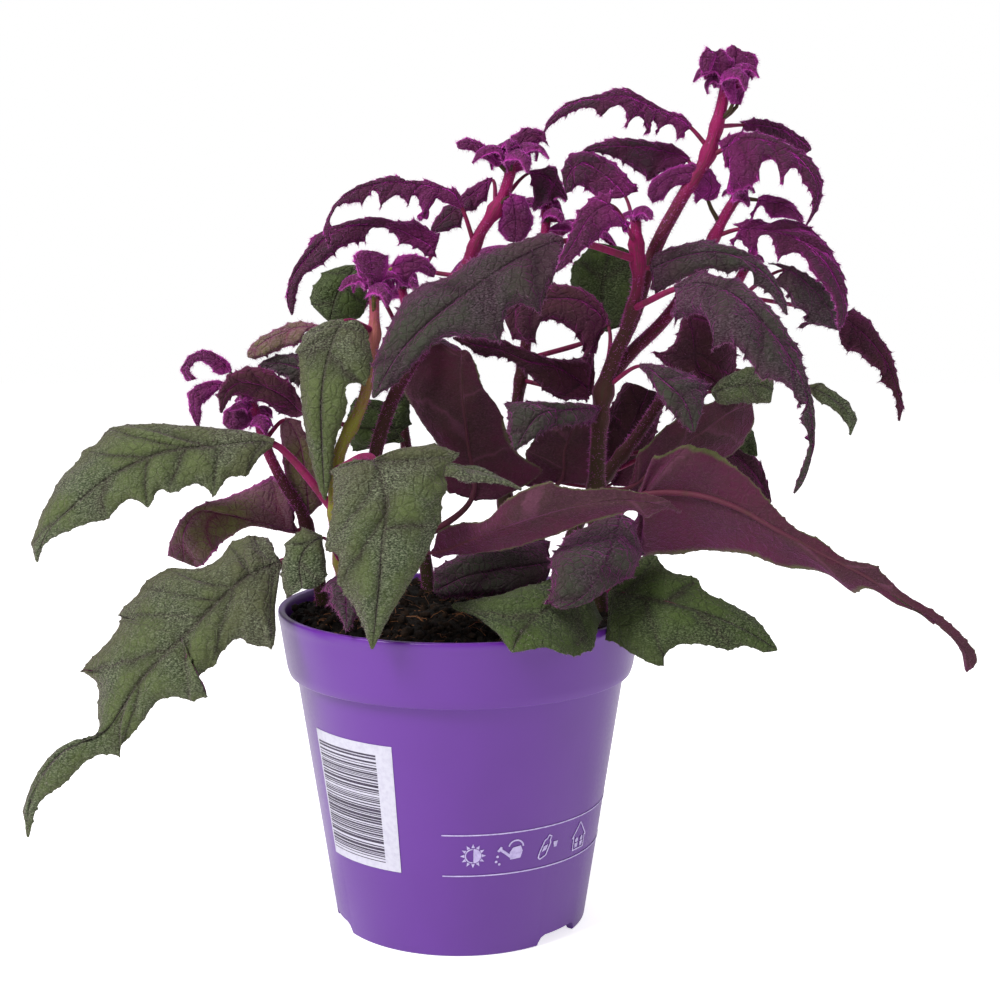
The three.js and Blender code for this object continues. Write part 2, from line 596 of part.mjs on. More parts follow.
const LEAVES = {
  far_left: { stem: "yellow", height: 143, depths: [-16, -22, -27, -27], turn: -35, finish: "mature",
    halves: 2, base: 1,
    rib: [[292, 459], [271, 443], [215, 446], [165, 452], [115, 474], [75, 505], [48, 532], [37, 562]],
    left: [[262, 455], [246, 477], [228, 478], [212, 498], [198, 484], [170, 493], [160, 490],
      [148, 508], [130, 499], [104, 521], [70, 530], [44, 545]],
    right: [[258, 434], [223, 427], [190, 425], [165, 425], [127, 422], [108, 427], [101, 440],
      [82, 450], [67, 470], [50, 498], [38, 520], [31, 545]] },
  low_left: { stem: "low_left", height: 124, depths: [-27, -44, -50, -50], turn: -30, finish: "mature",
    halves: 2,
    rib: [[281, 562], [245, 578], [196, 625], [144, 677], [105, 730], [63, 752], [38, 783], [28, 815],
      [28, 837]],
    left: [[276, 600], [272, 650], [252, 645], [238, 638], [225, 650], [213, 667], [200, 675],
      [197, 682], [208, 697], [190, 701], [160, 700], [142, 722], [122, 745], [120, 757], [95, 756],
      [64, 784], [40, 802]],
    right: [[268, 537], [255, 534], [243, 538], [228, 545], [205, 566], [168, 569], [140, 585],
      [117, 615], [122, 622], [100, 648], [78, 672], [97, 682], [97, 710], [95, 735], [60, 747],
      [32, 782], [22, 812]] },
  low_small: { stem: "yellow", height: 126, depths: [-33, -38], finish: "mature",
    rib: [[322, 538], [308, 546], [300, 562], [302, 588]],
    left: [[324, 550], [327, 565], [324, 582], [311, 589]],
    right: [[302, 527], [285, 545], [281, 572], [287, 598]] },
  middle_left: { stem: "low_left", height: 136, depths: [3, -12], turn: -30, finish: "mature",
    rib: [[298, 531], [262, 524], [225, 514], [198, 512], [184, 532], [184, 562]],
    left: [[288, 532], [262, 527], [247, 527], [237, 532], [224, 542], [214, 552], [206, 562],
      [196, 568]],
    right: [[292, 478], [272, 476], [250, 487], [228, 496], [205, 503], [185, 515], [173, 532],
      [168, 556]] },
  front_hanging: { stem: "yellow", height: 157, depths: [-49, -63, -67, -67], finish: "mature", halves: 2,
    rib: [[374, 460], [386, 501], [383, 540], [380, 570], [376, 612], [372, 649]],
    left: [[400, 448], [435, 442], [459, 455], [447, 468], [447, 489], [441, 500], [443, 522],
      [424, 560], [392, 612]],
    right: [[352, 460], [330, 470], [334, 500], [325, 551], [338, 557], [338, 585], [346, 598],
      [357, 613], [366, 635]] },
  dark_hanging: { stem: "yellow", height: 203, depths: [-21, -25, -20], turn: -15, finish: "mature",
    halves: 2,
    rib: [[344, 322], [330, 350], [322, 390], [322, 440], [325, 500]],
    left: [[355, 320], [370, 335], [372, 360], [364, 386], [347, 386], [347, 405], [336, 440],
      [331, 475]],
    right: [[325, 322], [302, 335], [296, 350], [300, 372], [300, 398], [303, 420], [308, 445],
      [316, 480]] },
  shoulder_left: { stem: "yellow", height: 200, depths: [1, 4], turn: -30,
    rib: [[322, 328], [300, 327], [272, 337], [255, 349], [248, 357]],
    left: [[303, 334], [298, 346], [284, 348], [268, 355], [255, 359]],
    right: [[310, 323], [296, 321], [272, 330], [256, 340], [247, 351]] },
  maroon_left: { stem: "yellow", height: 172, depths: [-6, -12, -12], turn: 20,
    rib: [[303, 413], [285, 397], [262, 386], [240, 383], [227, 392], [221, 413]],
    left: [[296, 418], [275, 414], [262, 404], [247, 402], [234, 397], [227, 404]],
    right: [[302, 402], [290, 380], [268, 369], [243, 367], [226, 376], [217, 396]] },
  rim_dark: { stem: "yellow", height: 119, azimuth: -84, length: 46, rise: 35, droop: 90, width: 15,
    stalk: 12 },
  long_dark: { stem: "tall.0", height: 226, depths: [-26, -32, -32], turn: -25, halves: 2,
    rib: [[564, 241], [525, 255], [486, 279], [439, 314], [402, 350], [373, 398]],
    left: [[562, 262], [552, 285], [540, 316], [515, 305], [499, 346], [470, 338], [440, 340],
      [412, 368], [387, 390]],
    right: [[550, 232], [520, 238], [495, 247], [470, 258], [445, 274], [420, 281], [402, 298],
      [383, 332], [370, 365]] },
  arch_right: { stem: "tall.0", height: 224, depths: [-12, -18], turn: 30,
    rib: [[650, 268], [680, 257], [712, 252], [740, 258], [765, 274], [780, 294], [787, 315]],
    left: [[655, 252], [680, 242], [712, 238], [740, 247], [760, 257], [772, 272], [780, 287],
      [787, 303]],
    right: [[655, 297], [675, 284], [710, 269], [730, 274], [750, 270], [754, 286], [768, 292],
      [777, 303]] },
  tailed: { stem: "tall.0", height: 210, depths: [-29, -46, -51, -44], turn: 30, halves: 2,
    rib: [[675, 289], [700, 283], [726, 290], [752, 310], [776, 338], [795, 366], [806, 392],
      [812, 420], [812, 450], [804, 478], [794, 493]],
    left: [[688, 276], [704, 268], [720, 275], [740, 276], [758, 293], [778, 311], [788, 330],
      [804, 352], [807, 375], [814, 405], [816, 435], [806, 481]],
    right: [[673, 323], [700, 315], [711, 350], [732, 343], [741, 353], [752, 366], [761, 379],
      [785, 385], [801, 407], [806, 405], [799, 419], [809, 440]] },
  top_left: { stem: "tall", height: 263, depths: [6, 0, -2], turn: -30,
    rib: [[690, 127], [672, 115], [655, 108], [640, 101], [622, 96], [600, 99], [580, 101], [560, 110],
      [549, 120], [544, 132]],
    left: [[677, 142], [671, 124], [657, 133], [652, 118], [645, 134], [640, 117], [626, 127],
      [621, 106], [600, 117], [592, 108], [569, 114], [549, 127]],
    right: [[682, 112], [668, 110], [658, 106], [650, 101], [642, 97], [634, 92], [626, 87], [616, 87],
      [600, 93], [585, 96], [565, 104], [546, 124]] },
  second_left: { stem: "tall", height: 253, depths: [10, 14, 12], turn: -25,
    rib: [[688, 160], [670, 152], [650, 148], [625, 146], [600, 147], [583, 151]],
    left: [[680, 170], [665, 172], [648, 182], [634, 170], [616, 158], [600, 153]],
    right: [[682, 149], [670, 143], [652, 140], [630, 137], [608, 138], [592, 144]] },
  right_upper: { stem: "tall", height: 270, depths: [19, 24], turn: 25,
    rib: [[745, 125], [765, 126], [785, 131], [800, 140], [811, 150]],
    left: [[740, 121], [756, 118], [780, 123], [797, 134], [809, 143]],
    right: [[742, 130], [760, 134], [780, 140], [795, 148], [806, 154]] },
  right_arch: { stem: "tall", height: 261, depths: [5, -7, -8], turn: 25,
    rib: [[722, 150], [740, 138], [765, 140], [790, 151], [808, 168], [818, 190], [814, 210],
      [806, 226]],
    left: [[718, 141], [726, 136], [742, 130], [757, 132], [776, 137], [792, 146], [807, 154],
      [819, 168], [824, 185], [820, 204]],
    right: [[728, 170], [738, 157], [731, 196], [760, 179], [768, 160], [782, 185], [795, 168],
      [803, 184], [811, 194], [811, 212]] },
  broad_purple: { stem: "tall.0", height: 231, depths: [2, 5, 3], turn: -20,
    rib: [[625, 196], [605, 175], [582, 163], [569, 175], [566, 193]],
    left: [[612, 200], [598, 198], [586, 190], [578, 186], [575, 188], [572, 191]],
    right: [[640, 187], [624, 170], [612, 157], [590, 150], [567, 153], [560, 172]] },
  pointed: { stem: "tall.0", height: 231, depths: [-28, -36], turn: -20,
    rib: [[610, 205], [592, 214], [578, 236], [566, 256], [556, 272]],
    left: [[630, 232], [612, 228], [598, 240], [582, 251], [568, 264]],
    right: [[612, 190], [590, 196], [576, 212], [567, 240], [559, 262]] },
  right_large: { stem: "tall.1", height: 234, depths: [10, 2, 2], turn: 25,
    rib: [[740, 229], [770, 231], [800, 240], [825, 262], [840, 290], [844, 312], [839, 331]],
    left: [[733, 223], [753, 218], [775, 221], [792, 217], [815, 229], [830, 243], [840, 262],
      [848, 285], [849, 310]],
    right: [[731, 245], [739, 240], [752, 256], [758, 238], [768, 235], [778, 261], [800, 254],
      [812, 272], [834, 300]] },
  behind_right: { stem: "right", height: 206, depths: [15, 16], turn: 25,
    rib: [[785, 270], [810, 286], [828, 306], [838, 330]],
    left: [[770, 260], [790, 266], [812, 276], [828, 286], [837, 300], [841, 318]],
    right: [[775, 283], [788, 296], [792, 305], [806, 315], [800, 328], [825, 327]] },
  far_right: { stem: "right", height: 214, depths: [38, 34], turn: 25,
    rib: [[840, 316], [858, 328], [875, 346], [888, 366], [897, 390], [901, 408], [899, 421]],
    left: [[856, 306], [871, 319], [881, 336], [893, 350], [895, 362], [899, 380], [902, 395],
      [904, 408]],
    right: [[838, 335], [847, 352], [859, 354], [868, 363], [881, 373], [879, 382], [893, 392],
      [897, 408]] },
  green_right: { stem: "right", height: 191, depths: [11, 6], turn: 25, finish: "mature",
    rib: [[808, 387], [830, 397], [846, 411], [853, 424], [850, 435]],
    left: [[822, 383], [838, 394], [850, 404], [857, 420]],
    right: [[818, 401], [832, 408], [843, 419], [849, 429]] },
  dark_right: { stem: "tall", height: 183, depths: [-16, -30, -33], turn: 20,
    rib: [[640, 366], [665, 382], [685, 402], [694, 432]],
    left: [[665, 365], [698, 373], [713, 384], [703, 412]],
    right: [[652, 385], [662, 402], [674, 416], [686, 428]] },
  middle_right: { stem: "right", height: 180, depths: [4, -13], turn: 20, finish: "mature",
    rib: [[712, 392], [735, 386], [755, 384], [773, 389]],
    left: [[720, 380], [740, 370], [760, 366], [774, 371]],
    right: [[718, 403], [740, 403], [757, 403], [771, 402]] },
  low_right: { stem: "right", height: 158, depths: [30, 26], turn: 20,
    rib: [[700, 445], [730, 452], [752, 470], [771, 502]],
    left: [[722, 436], [745, 447], [758, 457], [765, 465], [768, 482]],
    right: [[700, 475], [715, 492], [735, 505], [750, 512], [763, 512]] },
  underside_right: { stem: "tall", height: 150, depths: [-5, 10], turn: -20, finish: "underside",
    rib: [[629, 488], [660, 462], [700, 433], [730, 412], [752, 403]],
    left: [[640, 450], [665, 428], [690, 412], [715, 402], [745, 400]],
    right: [[655, 500], [690, 480], [718, 462], [742, 442], [753, 420]] },
  big_right: { stem: "tall", height: 132, depths: [-17, -33, -40, -38], turn: -25, finish: "underside",
    halves: 2,
    rib: [[640, 496], [690, 494], [735, 507], [775, 529], [820, 553], [860, 573], [905, 601],
      [943, 628], [965, 652], [972, 668]],
    left: [[655, 456], [691, 445], [715, 452], [734, 467], [752, 482], [771, 504], [795, 528],
      [820, 540], [845, 559], [878, 567], [893, 584], [942, 617], [966, 640], [977, 660]],
    right: [[632, 535], [645, 556], [675, 551], [704, 550], [745, 553], [786, 564], [830, 574],
      [855, 593], [866, 586], [900, 604], [927, 617], [948, 633], [962, 652], [967, 672]] },
  front_mauve: { stem: "brown", height: 136, depths: [-34, -54, -57, -56], turn: -15,
    finish: "underside", halves: 2,
    rib: [[432, 553], [470, 540], [520, 522], [570, 508], [620, 500], [660, 504], [681, 513]],
    left: [[440, 532], [463, 523], [485, 521], [512, 498], [550, 482], [575, 489], [615, 489],
      [645, 494], [670, 502]],
    right: [[440, 558], [470, 553], [503, 549], [540, 538], [575, 525], [612, 515], [636, 509],
      [648, 517], [668, 509]] },
  over_rim: { stem: "tall", height: 116, depths: [-30, -52, -62, -68, -70], turn: -35,
    finish: "mature", halves: 2,
    rib: [[590, 590], [560, 602], [535, 618], [520, 636], [512, 652]],
    left: [[602, 620], [592, 651], [577, 655], [560, 653], [545, 648], [528, 650]],
    right: [[550, 578], [515, 588], [480, 598], [453, 606], [475, 619], [497, 634]] },
  rim_right: { stem: "tall", height: 124, depths: [-30, -42, -48, -50, -52], turn: 40,
    finish: "mature", halves: 2,
    rib: [[610, 590], [655, 600], [700, 612], [740, 628], [777, 650]],
    left: [[634, 555], [656, 557], [673, 571], [698, 578], [702, 588], [725, 600], [752, 616],
      [771, 638]],
    right: [[604, 640], [635, 655], [664, 666], [672, 648], [700, 644], [733, 650], [745, 646],
      [765, 652]] },
  folded: { stem: "tall", height: 142, depths: [-38, -50, -58, -62, -64], cup: 35, halves: 2,
    rib: [[620, 515], [613, 545], [601, 574], [582, 597], [560, 609]],
    left: [[638, 520], [645, 555], [636, 580], [612, 590], [587, 604]],
    right: [[590, 521], [562, 535], [550, 560], [550, 585], [545, 603]] },
  low_dark: { stem: "back_middle", height: 118, depths: [10, -14], turn: -20,
    rib: [[550, 562], [505, 569], [465, 577], [434, 592]],
    left: [[545, 590], [505, 597], [470, 597], [442, 596]],
    right: [[545, 534], [503, 540], [455, 556], [432, 570]] },
  fuzzy: { stem: "brown", height: 152, azimuth: -28, length: 58, rise: 26, droop: 50, width: 24,
    stalk: 14, finish: "mature" },
  dark_horizontal: { stem: "tall", height: 173, depths: [-11, -27, -32], turn: -20,
    rib: [[600, 410], [565, 410], [538, 416], [515, 450]],
    left: [[592, 427], [573, 425], [553, 428], [537, 437], [524, 445]],
    right: [[588, 403], [558, 402], [527, 399], [502, 401], [507, 430]] },
  big_magenta: { stem: "brown", height: 124, depths: [2, 4, 2], finish: "underside", halves: 2,
    rib: [[471, 500], [467, 440], [463, 400], [461, 351]],
    left: [[448, 490], [440, 450], [420, 415], [404, 385], [412, 365], [425, 352], [440, 344]],
    right: [[500, 497], [540, 470], [512, 448], [500, 412], [482, 388], [475, 365], [466, 350]] },
  maroon_middle: { stem: "tall", height: 181, depths: [8, 8], turn: -20,
    rib: [[608, 325], [585, 302], [555, 298], [525, 302], [505, 320]],
    left: [[585, 362], [570, 330], [545, 322], [536, 346], [510, 338]],
    right: [[600, 300], [575, 285], [550, 282], [525, 287], [503, 302]] },
  dark_arch: { stem: "back_middle", height: 183, depths: [26, 14], turn: -20,
    rib: [[590, 394], [560, 368], [530, 362], [500, 350], [475, 345], [453, 338]],
    left: [[588, 402], [558, 400], [545, 392], [528, 374], [505, 358], [478, 355]],
    right: [[596, 346], [572, 358], [545, 355], [520, 345], [498, 337], [470, 335]] },
  left_arch: { stem: "brown", height: 231, depths: [0, -6], turn: -25,
    rib: [[462, 208], [452, 192], [430, 186], [390, 182], [355, 190], [335, 207], [326, 228],
      [330, 248]],
    left: [[446, 204], [432, 199], [420, 222], [411, 194], [406, 204], [399, 196], [378, 210],
      [374, 191], [364, 204], [352, 203], [338, 206], [329, 225]],
    right: [[457, 188], [445, 187], [430, 180], [415, 180], [402, 180], [390, 175], [376, 179],
      [365, 182], [352, 188], [342, 196], [333, 205], [322, 232]] },
  left_arch_low: { stem: "brown", height: 220, depths: [4, 4], turn: -20, base: 1,
    rib: [[426, 268], [433, 250], [412, 236], [385, 226], [350, 226], [325, 238], [308, 256],
      [294, 276], [287, 297], [292, 315]],
    left: [[436, 257], [425, 256], [410, 245], [399, 244], [391, 231], [370, 229], [365, 243],
      [341, 248], [331, 257], [319, 267], [303, 277]],
    right: [[442, 233], [425, 224], [415, 217], [400, 219], [375, 215], [350, 219], [327, 226],
      [308, 237], [303, 252], [290, 272], [284, 297]] },
  green_behind: { stem: "back_left", height: 198, depths: [23, 22], turn: -10, finish: "mature",
    rib: [[360, 268], [346, 280], [336, 298], [330, 322]],
    left: [[366, 278], [368, 292], [366, 305], [360, 318], [345, 326]],
    right: [[340, 266], [322, 273], [313, 288], [310, 305], [318, 312]] },
  behind_left: { stem: "low_left", height: 165, depths: [4, 6], finish: "mature",
    rib: [[285, 420], [297, 435], [305, 470], [309, 515]],
    left: [[301, 421], [309, 440], [318, 470], [322, 505]],
    right: [[283, 422], [281, 442], [284, 470], [293, 500]] },
  back_low: { stem: "back_left", height: 138, depths: [26, 22], finish: "mature",
    rib: [[402, 442], [392, 424], [384, 402]],
    left: [[352, 452], [342, 425], [356, 398]],
    right: [[400, 434], [412, 424], [408, 392]] },
  back_left_side: { stem: "yellow", height: 188, depths: [0, 4], turn: -20,
    rib: [[312, 373], [296, 367], [277, 363], [258, 366]],
    left: [[297, 388], [282, 376], [268, 370]],
    right: [[299, 351], [281, 353], [263, 361]] },
  back_high: { stem: "back_left", height: 188, azimuth: 75, length: 72, rise: 35, droop: 90,
    width: 26, teeth: 3, stalk: 10 },
  back_centre: { stem: "back_middle", height: 140, depths: [26, 24], finish: "underside",
    rib: [[560, 482], [565, 450], [575, 425], [592, 412]],
    left: [[526, 485], [527, 450], [545, 424], [578, 404]],
    right: [[600, 482], [605, 455], [606, 432], [602, 413]] },
  back_upper: { stem: "back_middle", height: 150, depths: [34, 34], turn: 10,
    rib: [[612, 484], [622, 450], [635, 420], [648, 390]],
    left: [[600, 470], [601, 440], [605, 410], [626, 380]],
    right: [[634, 488], [650, 455], [660, 425], [662, 396]] },
  back_arch: { stem: "back_middle", height: 190, depths: [30, 22], turn: 10, finish: "mature",
    rib: [[604, 330], [602, 300], [605, 270], [612, 246]],
    left: [[577, 322], [571, 290], [573, 262], [595, 244]],
    right: [[640, 320], [642, 290], [636, 262], [624, 248]] },
  back_right: { stem: "right", height: 152, depths: [22, 16], turn: 15, finish: "mature",
    rib: [[712, 428], [735, 432], [757, 456]],
    left: [[728, 421], [746, 419], [755, 438]],
    right: [[722, 438], [738, 448], [750, 455]] },
  maroon_right: { stem: "right", height: 205, depths: [16, 12, 14],
    rib: [[690, 310], [694, 340], [698, 368], [715, 393]],
    left: [[732, 325], [739, 350], [736, 375], [726, 392]],
    right: [[682, 318], [670, 345], [650, 353], [676, 376]] },
  brown_left: { stem: "brown", height: 243, depths: [12, 16], turn: -20,
    rib: [[492, 180], [475, 192], [458, 207], [443, 220], [431, 232]],
    left: [[488, 200], [472, 212], [466, 212], [461, 228], [443, 232]],
    right: [[481, 181], [466, 190], [455, 200], [441, 208], [433, 222]] },
  brown_right: { stem: "brown", height: 243, depths: [14, 16], turn: 20,
    rib: [[530, 173], [548, 177], [558, 188], [567, 200]],
    left: [[541, 168], [557, 165], [561, 180], [566, 192]],
    right: [[532, 190], [533, 213], [547, 206], [559, 197]] },
};

function stemPart(name) {
  const [stem, branch] = name.split(".");
  return branch === undefined ? STEMS[stem] : STEMS[stem].branches[Number(branch)];
}

function makeLeaf(leaf, stems) {
  const start = pointAtHeight(stemPart(leaf.stem).route, leaf.height);
  let solid = bladeSolid(leaf, start);
  solid = solid.subtract(stems[leaf.stem.split(".")[0]].clearance);
  return largestBody(solid);
}

function largestBody(solid) {
  return solid.decompose().reduce((best, body) => (body.volume() > best.volume() ? body : best));
}

// The small leaves of a shoot's tip, each a golden turn on from the last, higher and shorter
function tipLeaves({ route, tip }) {
  if (!tip) return [];
  const curve = curveOf(route);
  return Array.from({ length: tip.count }, (_, i) => {
    const age = 1 - i / tip.count;
    return bladeSolid(
      {
        ...YOUNG,
        azimuth: TIP_BEARING + i * GOLDEN_ANGLE,
        length: tip.length * (0.55 + 0.45 * age),
        rise: tip.rise + 18 * (1 - age),
        droop: tip.droop,
        width: tip.width * (0.7 + 0.3 * age),
      },
      curve.getPointAt(tip.low + (0.99 - tip.low) * (1 - age)),
    );
  });
}

function sprigLeaves({ route, sprigs = [] }) {
  return sprigs.map((sprig) => {
    const form = sprig.rib ? {} : { ...YOUNG, teeth: 2 };
    return bladeSolid({ ...form, ...sprig }, pointAtHeight(route, sprig.height));
  });
}

function makeStems() {
  const stems = {};
  for (const [name, stem] of Object.entries(STEMS)) {
    const shoots = [stem, ...(stem.branches ?? [])];
    const pieces = shoots.flatMap((shoot) => [
      stemSolid(shoot),
      ...tipLeaves(shoot),
      ...sprigLeaves(shoot),
    ]);
    const sleeves = shoots.map((shoot) => stemSolid(shoot, GAP));
    stems[name] = {
      solid: pieces.reduce((whole, piece) => whole.add(piece)),
      clearance: sleeves.reduce((whole, sleeve) => whole.add(sleeve)),
    };
  }
  return stems;
}

// Assembly

function makePlant() {
  const plant = new THREE.Group();
  const place = (name, solid, finish) => {
    const mesh = new THREE.Mesh(geometryOf(solid), MATERIALS[finish]);
    mesh.name = name;
    plant.add(mesh);
  };
  const stems = makeStems();
  let soil = makeSoil();
  for (const { clearance } of Object.values(stems)) soil = soil.subtract(clearance);
  place("pot", makePot(), "pot");
  place("soil", soil, "soil");
  for (const [name, { solid }] of Object.entries(stems)) place(`stem_${name}`, solid, "stem");
  for (const [name, leaf] of Object.entries(LEAVES)) {
    place(`leaf_${name}`, makeLeaf(leaf, stems), leaf.finish ?? "dark");
  }
  return plant;
}

export default makePlant();
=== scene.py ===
"""A purple passion plant in its purple nursery pot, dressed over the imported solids.

Sizes are in millimetres and degrees, and each mesh is made in metres in the part's own frame.
"""

from __future__ import annotations

import logging
import math
import zlib
from dataclasses import dataclass
from enum import Enum

import bmesh
import bpy
import numpy as np
from bpy.types import Material, Mesh, Node, NodeSocket, NodeTree, Object
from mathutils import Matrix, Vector, noise
from numpy.random import Generator

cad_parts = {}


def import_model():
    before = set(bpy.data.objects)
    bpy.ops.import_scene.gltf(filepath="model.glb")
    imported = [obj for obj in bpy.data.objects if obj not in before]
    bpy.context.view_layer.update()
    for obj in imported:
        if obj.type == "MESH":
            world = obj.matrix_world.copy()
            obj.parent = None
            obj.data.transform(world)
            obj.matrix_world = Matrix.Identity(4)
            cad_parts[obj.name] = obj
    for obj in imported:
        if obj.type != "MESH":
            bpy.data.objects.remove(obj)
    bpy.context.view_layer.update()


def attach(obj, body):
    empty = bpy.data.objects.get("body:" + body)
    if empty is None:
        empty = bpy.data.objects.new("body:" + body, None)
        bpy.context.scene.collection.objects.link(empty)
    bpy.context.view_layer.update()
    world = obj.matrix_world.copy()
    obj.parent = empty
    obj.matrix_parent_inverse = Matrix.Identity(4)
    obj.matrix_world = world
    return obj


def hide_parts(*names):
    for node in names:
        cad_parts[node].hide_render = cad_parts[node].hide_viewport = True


LOG = logging.getLogger("passion_plant")
MM = 0.001
BODY = "root"

Array = np.ndarray
Pair = tuple[float, float]
Point = tuple[float, float, float]
Colour = tuple[float, float, float]  # red, green and blue as a display shows them, 0 to 255

WHITE = (1.0, 1.0, 1.0, 1.0)


def tint(colour: Colour) -> tuple[float, ...]:
    """Turns a display colour into the linear one, with full alpha, that a shader takes.

    Args:
        colour: The display colour.

    Returns:
        The linear colour.
    """
    shares = [channel / 255 for channel in colour]
    return (*(s / 12.92 if s <= 0.04045 else ((s + 0.055) / 1.055) ** 2.4 for s in shares), 1.0)


def seeded(name: str) -> Generator:
    """Gives a piece its own repeatable run of random numbers."""
    return np.random.default_rng(zlib.crc32(name.encode()))


def smooth(share: Array) -> Array:
    """Eases a share from 0 to 1 with level ends."""
    held = np.clip(share, 0.0, 1.0)
    return held * held * (3 - 2 * held)


def lengths(vectors: Array) -> Array:
    """Measures vectors."""
    return np.linalg.norm(vectors, axis=-1)


def unit(vectors: Array) -> Array:
    """Scales vectors to length one."""
    return vectors / np.maximum(lengths(vectors)[..., None], 1e-9)


def travelled(line: Array) -> Array:
    """Measures how far along a line each of its points is."""
    return np.concatenate([[0.0], np.cumsum(lengths(np.diff(line, axis=0)))])


def circle(count: int) -> Array:
    """Spaces points evenly round a circle of radius one."""
    turn = np.linspace(0, 2 * np.pi, count, endpoint=False)
    return np.stack([np.cos(turn), np.sin(turn)], -1)


@dataclass(frozen=True)
class FrontView:
    """The front view that leaves are drawn in: a square sheet seen through a lens.

    Places on the sheet are measured right and down from its upper left corner.
    """

    eye: Point = (13.6, -590.0, 228.0)
    pitch: float = 8.0
    lens: float = 63.0
    film: float = 36.0
    size: float = 1000.0

    def at(self, places: Array, depths: Array | float) -> Array:
        """Finds the points at depths along Y that the view shows at places.

        Args:
            places: Places on the sheet, right and down.
            depths: The depth of each point.

        Returns:
            The points, in millimetres.
        """
        focal = self.size * self.lens / self.film
        right = (places[..., 0] - self.size / 2) / focal
        up = (self.size / 2 - places[..., 1]) / focal
        turn = math.radians(self.pitch)
        ahead, rise = math.cos(turn), math.sin(turn)
        ray = np.stack([right, ahead + up * rise, up * ahead - rise], -1)
        away = (depths - self.eye[1]) / ray[..., 1]
        return ray * away[..., None] + np.array(self.eye)


VIEW = FrontView()


class Kind(Enum):
    """The record's material slot of a leaf, by the face it shows."""

    MATURE = "leaf_green"
    DARK = "leaf_dark"
    UNDERSIDE = "leaf_underside"


class Slot(Enum):
    """The record's other material slots."""

    POT = "pot"
    SOIL = "soil"
    STEM = "stem"


@dataclass(frozen=True)
class Leaf:
    """One leaf, drawn in the front view or formed from its sizes.

    A drawn leaf has its rib and both margins as places on the view's sheet, right and down in turn,
    and the depths of its rib along Y. A formed one has a bearing, a length and a slope.
    """

    stem: str
    height: float
    depths: tuple[float, ...] = ()
    rib: tuple[float, ...] = ()
    left: tuple[float, ...] = ()
    right: tuple[float, ...] = ()
    turn: float = 0.0
    cup: float = 12.0
    base: int = 0
    kind: Kind = Kind.DARK
    azimuth: float = 0.0
    length: float = 0.0
    rise: float = 0.0
    droop: float = 0.0
    width: float = 18.0
    stalk: float = 1.0
    widest: float = 0.34
    taper: float = 1.2
    teeth: int = 2
    notch: float = 0.4


def young(stem: str, height: float, **sizes: float) -> Leaf:
    """Describes a small formed leaf of a shoot's tip, cupped and cut with few teeth."""
    return Leaf(stem, height, **{"cup": 35.0, "notch": 0.35, **sizes})


@dataclass(frozen=True)
class TipCluster:
    """The spiral of small leaves round a shoot's tip."""

    count: int
    low: float
    length: float
    rise: float
    droop: float
    width: float


@dataclass(frozen=True)
class Shoot:
    """A round stem's route, as x, y and z in turn, with its end radii and its tip's leaves."""

    route: tuple[float, ...]
    radii: Pair
    tip: TipCluster

    @property
    def path(self) -> Route:
        """Gives the stem's curve."""
        return Route(np.reshape(self.route, (-1, 3)))


# A branch is named after the stem that it grows on, with its number.

SHOOTS: dict[str, Shoot] = {
    "tall": Shoot(route=(47, -2, 92, 47, -4, 120, 46, -6, 149, 48, -8, 182, 52, -8, 195,
        58, -6, 208, 65, 0, 229, 76, 6, 249, 82, 8, 258, 86, 8, 270, 90, 8, 288), radii=(3.2, 1.9),
        tip=TipCluster(count=5, low=0.965, length=24, rise=92, droop=185, width=13)),
    "tall.0": Shoot(route=(55, -7, 201, 59, -10, 218, 58, -12, 233, 58, -12, 240), radii=(2.2, 1.7),
        tip=TipCluster(count=2, low=0.975, length=15, rise=75, droop=150, width=10)),
    "tall.1": Shoot(route=(49, -8, 186, 58, -4, 196, 68, 2, 205, 78, 8, 218, 86, 12, 233,
        90, 12, 241, 95, 12, 249), radii=(2.3, 1.7), tip=TipCluster(count=2, low=0.95, length=14,
        rise=60, droop=140, width=9)),
    "brown": Shoot(route=(-31, -6, 92, -31, -6, 112, -30, -8, 139, -28, -10, 162, -20, -8, 185,
        -11, -2, 199, -3, 2, 213, 3, 4, 226, 7, 4, 235, 14, 4, 246, 19, 4, 262), radii=(2.6, 1.8),
        tip=TipCluster(count=6, low=0.955, length=25, rise=88, droop=175, width=13)),
    "yellow": Shoot(route=(-39, -14, 92, -38, -14, 113, -41, -16, 141, -40, -16, 161, -32, -14, 179,
        -30, -12, 187, -28, -10, 203, -28, -10, 220), radii=(2.7, 1.6), tip=TipCluster(count=4,
        low=0.945, length=22, rise=76, droop=165, width=12)),
    "low_left": Shoot(route=(-46, 6, 92, -48, 6, 109, -54, 4, 139, -61, 2, 152, -66, 0, 164,
        -68, -2, 173, -70, -4, 180), radii=(2.5, 1.5), tip=TipCluster(count=3, low=0.92, length=15,
        rise=40, droop=120, width=11)),
    "right": Shoot(route=(33, 14, 92, 33, 14, 111, 45, 16, 143, 63, 20, 167, 77, 24, 188,
        89, 28, 205, 97, 30, 218, 101, 30, 226), radii=(2.7, 1.6), tip=TipCluster(count=3, low=0.97,
        length=15, rise=75, droop=140, width=9)),
    "back_left": Shoot(route=(-12, 26, 92, -12, 27, 109, -17, 32, 141, -22, 36, 176, -20, 38, 208,
        -23, 38, 222), radii=(2.6, 1.5), tip=TipCluster(count=3, low=0.95, length=19, rise=65,
        droop=130, width=12)),
    "back_middle": Shoot(route=(14, 28, 92, 14, 29, 108, 16, 36, 147, 21, 42, 183, 26, 46, 215,
        30, 46, 238, 30, 46, 247), radii=(2.8, 1.6), tip=TipCluster(count=3, low=0.95, length=19,
        rise=65, droop=130, width=12)),
}

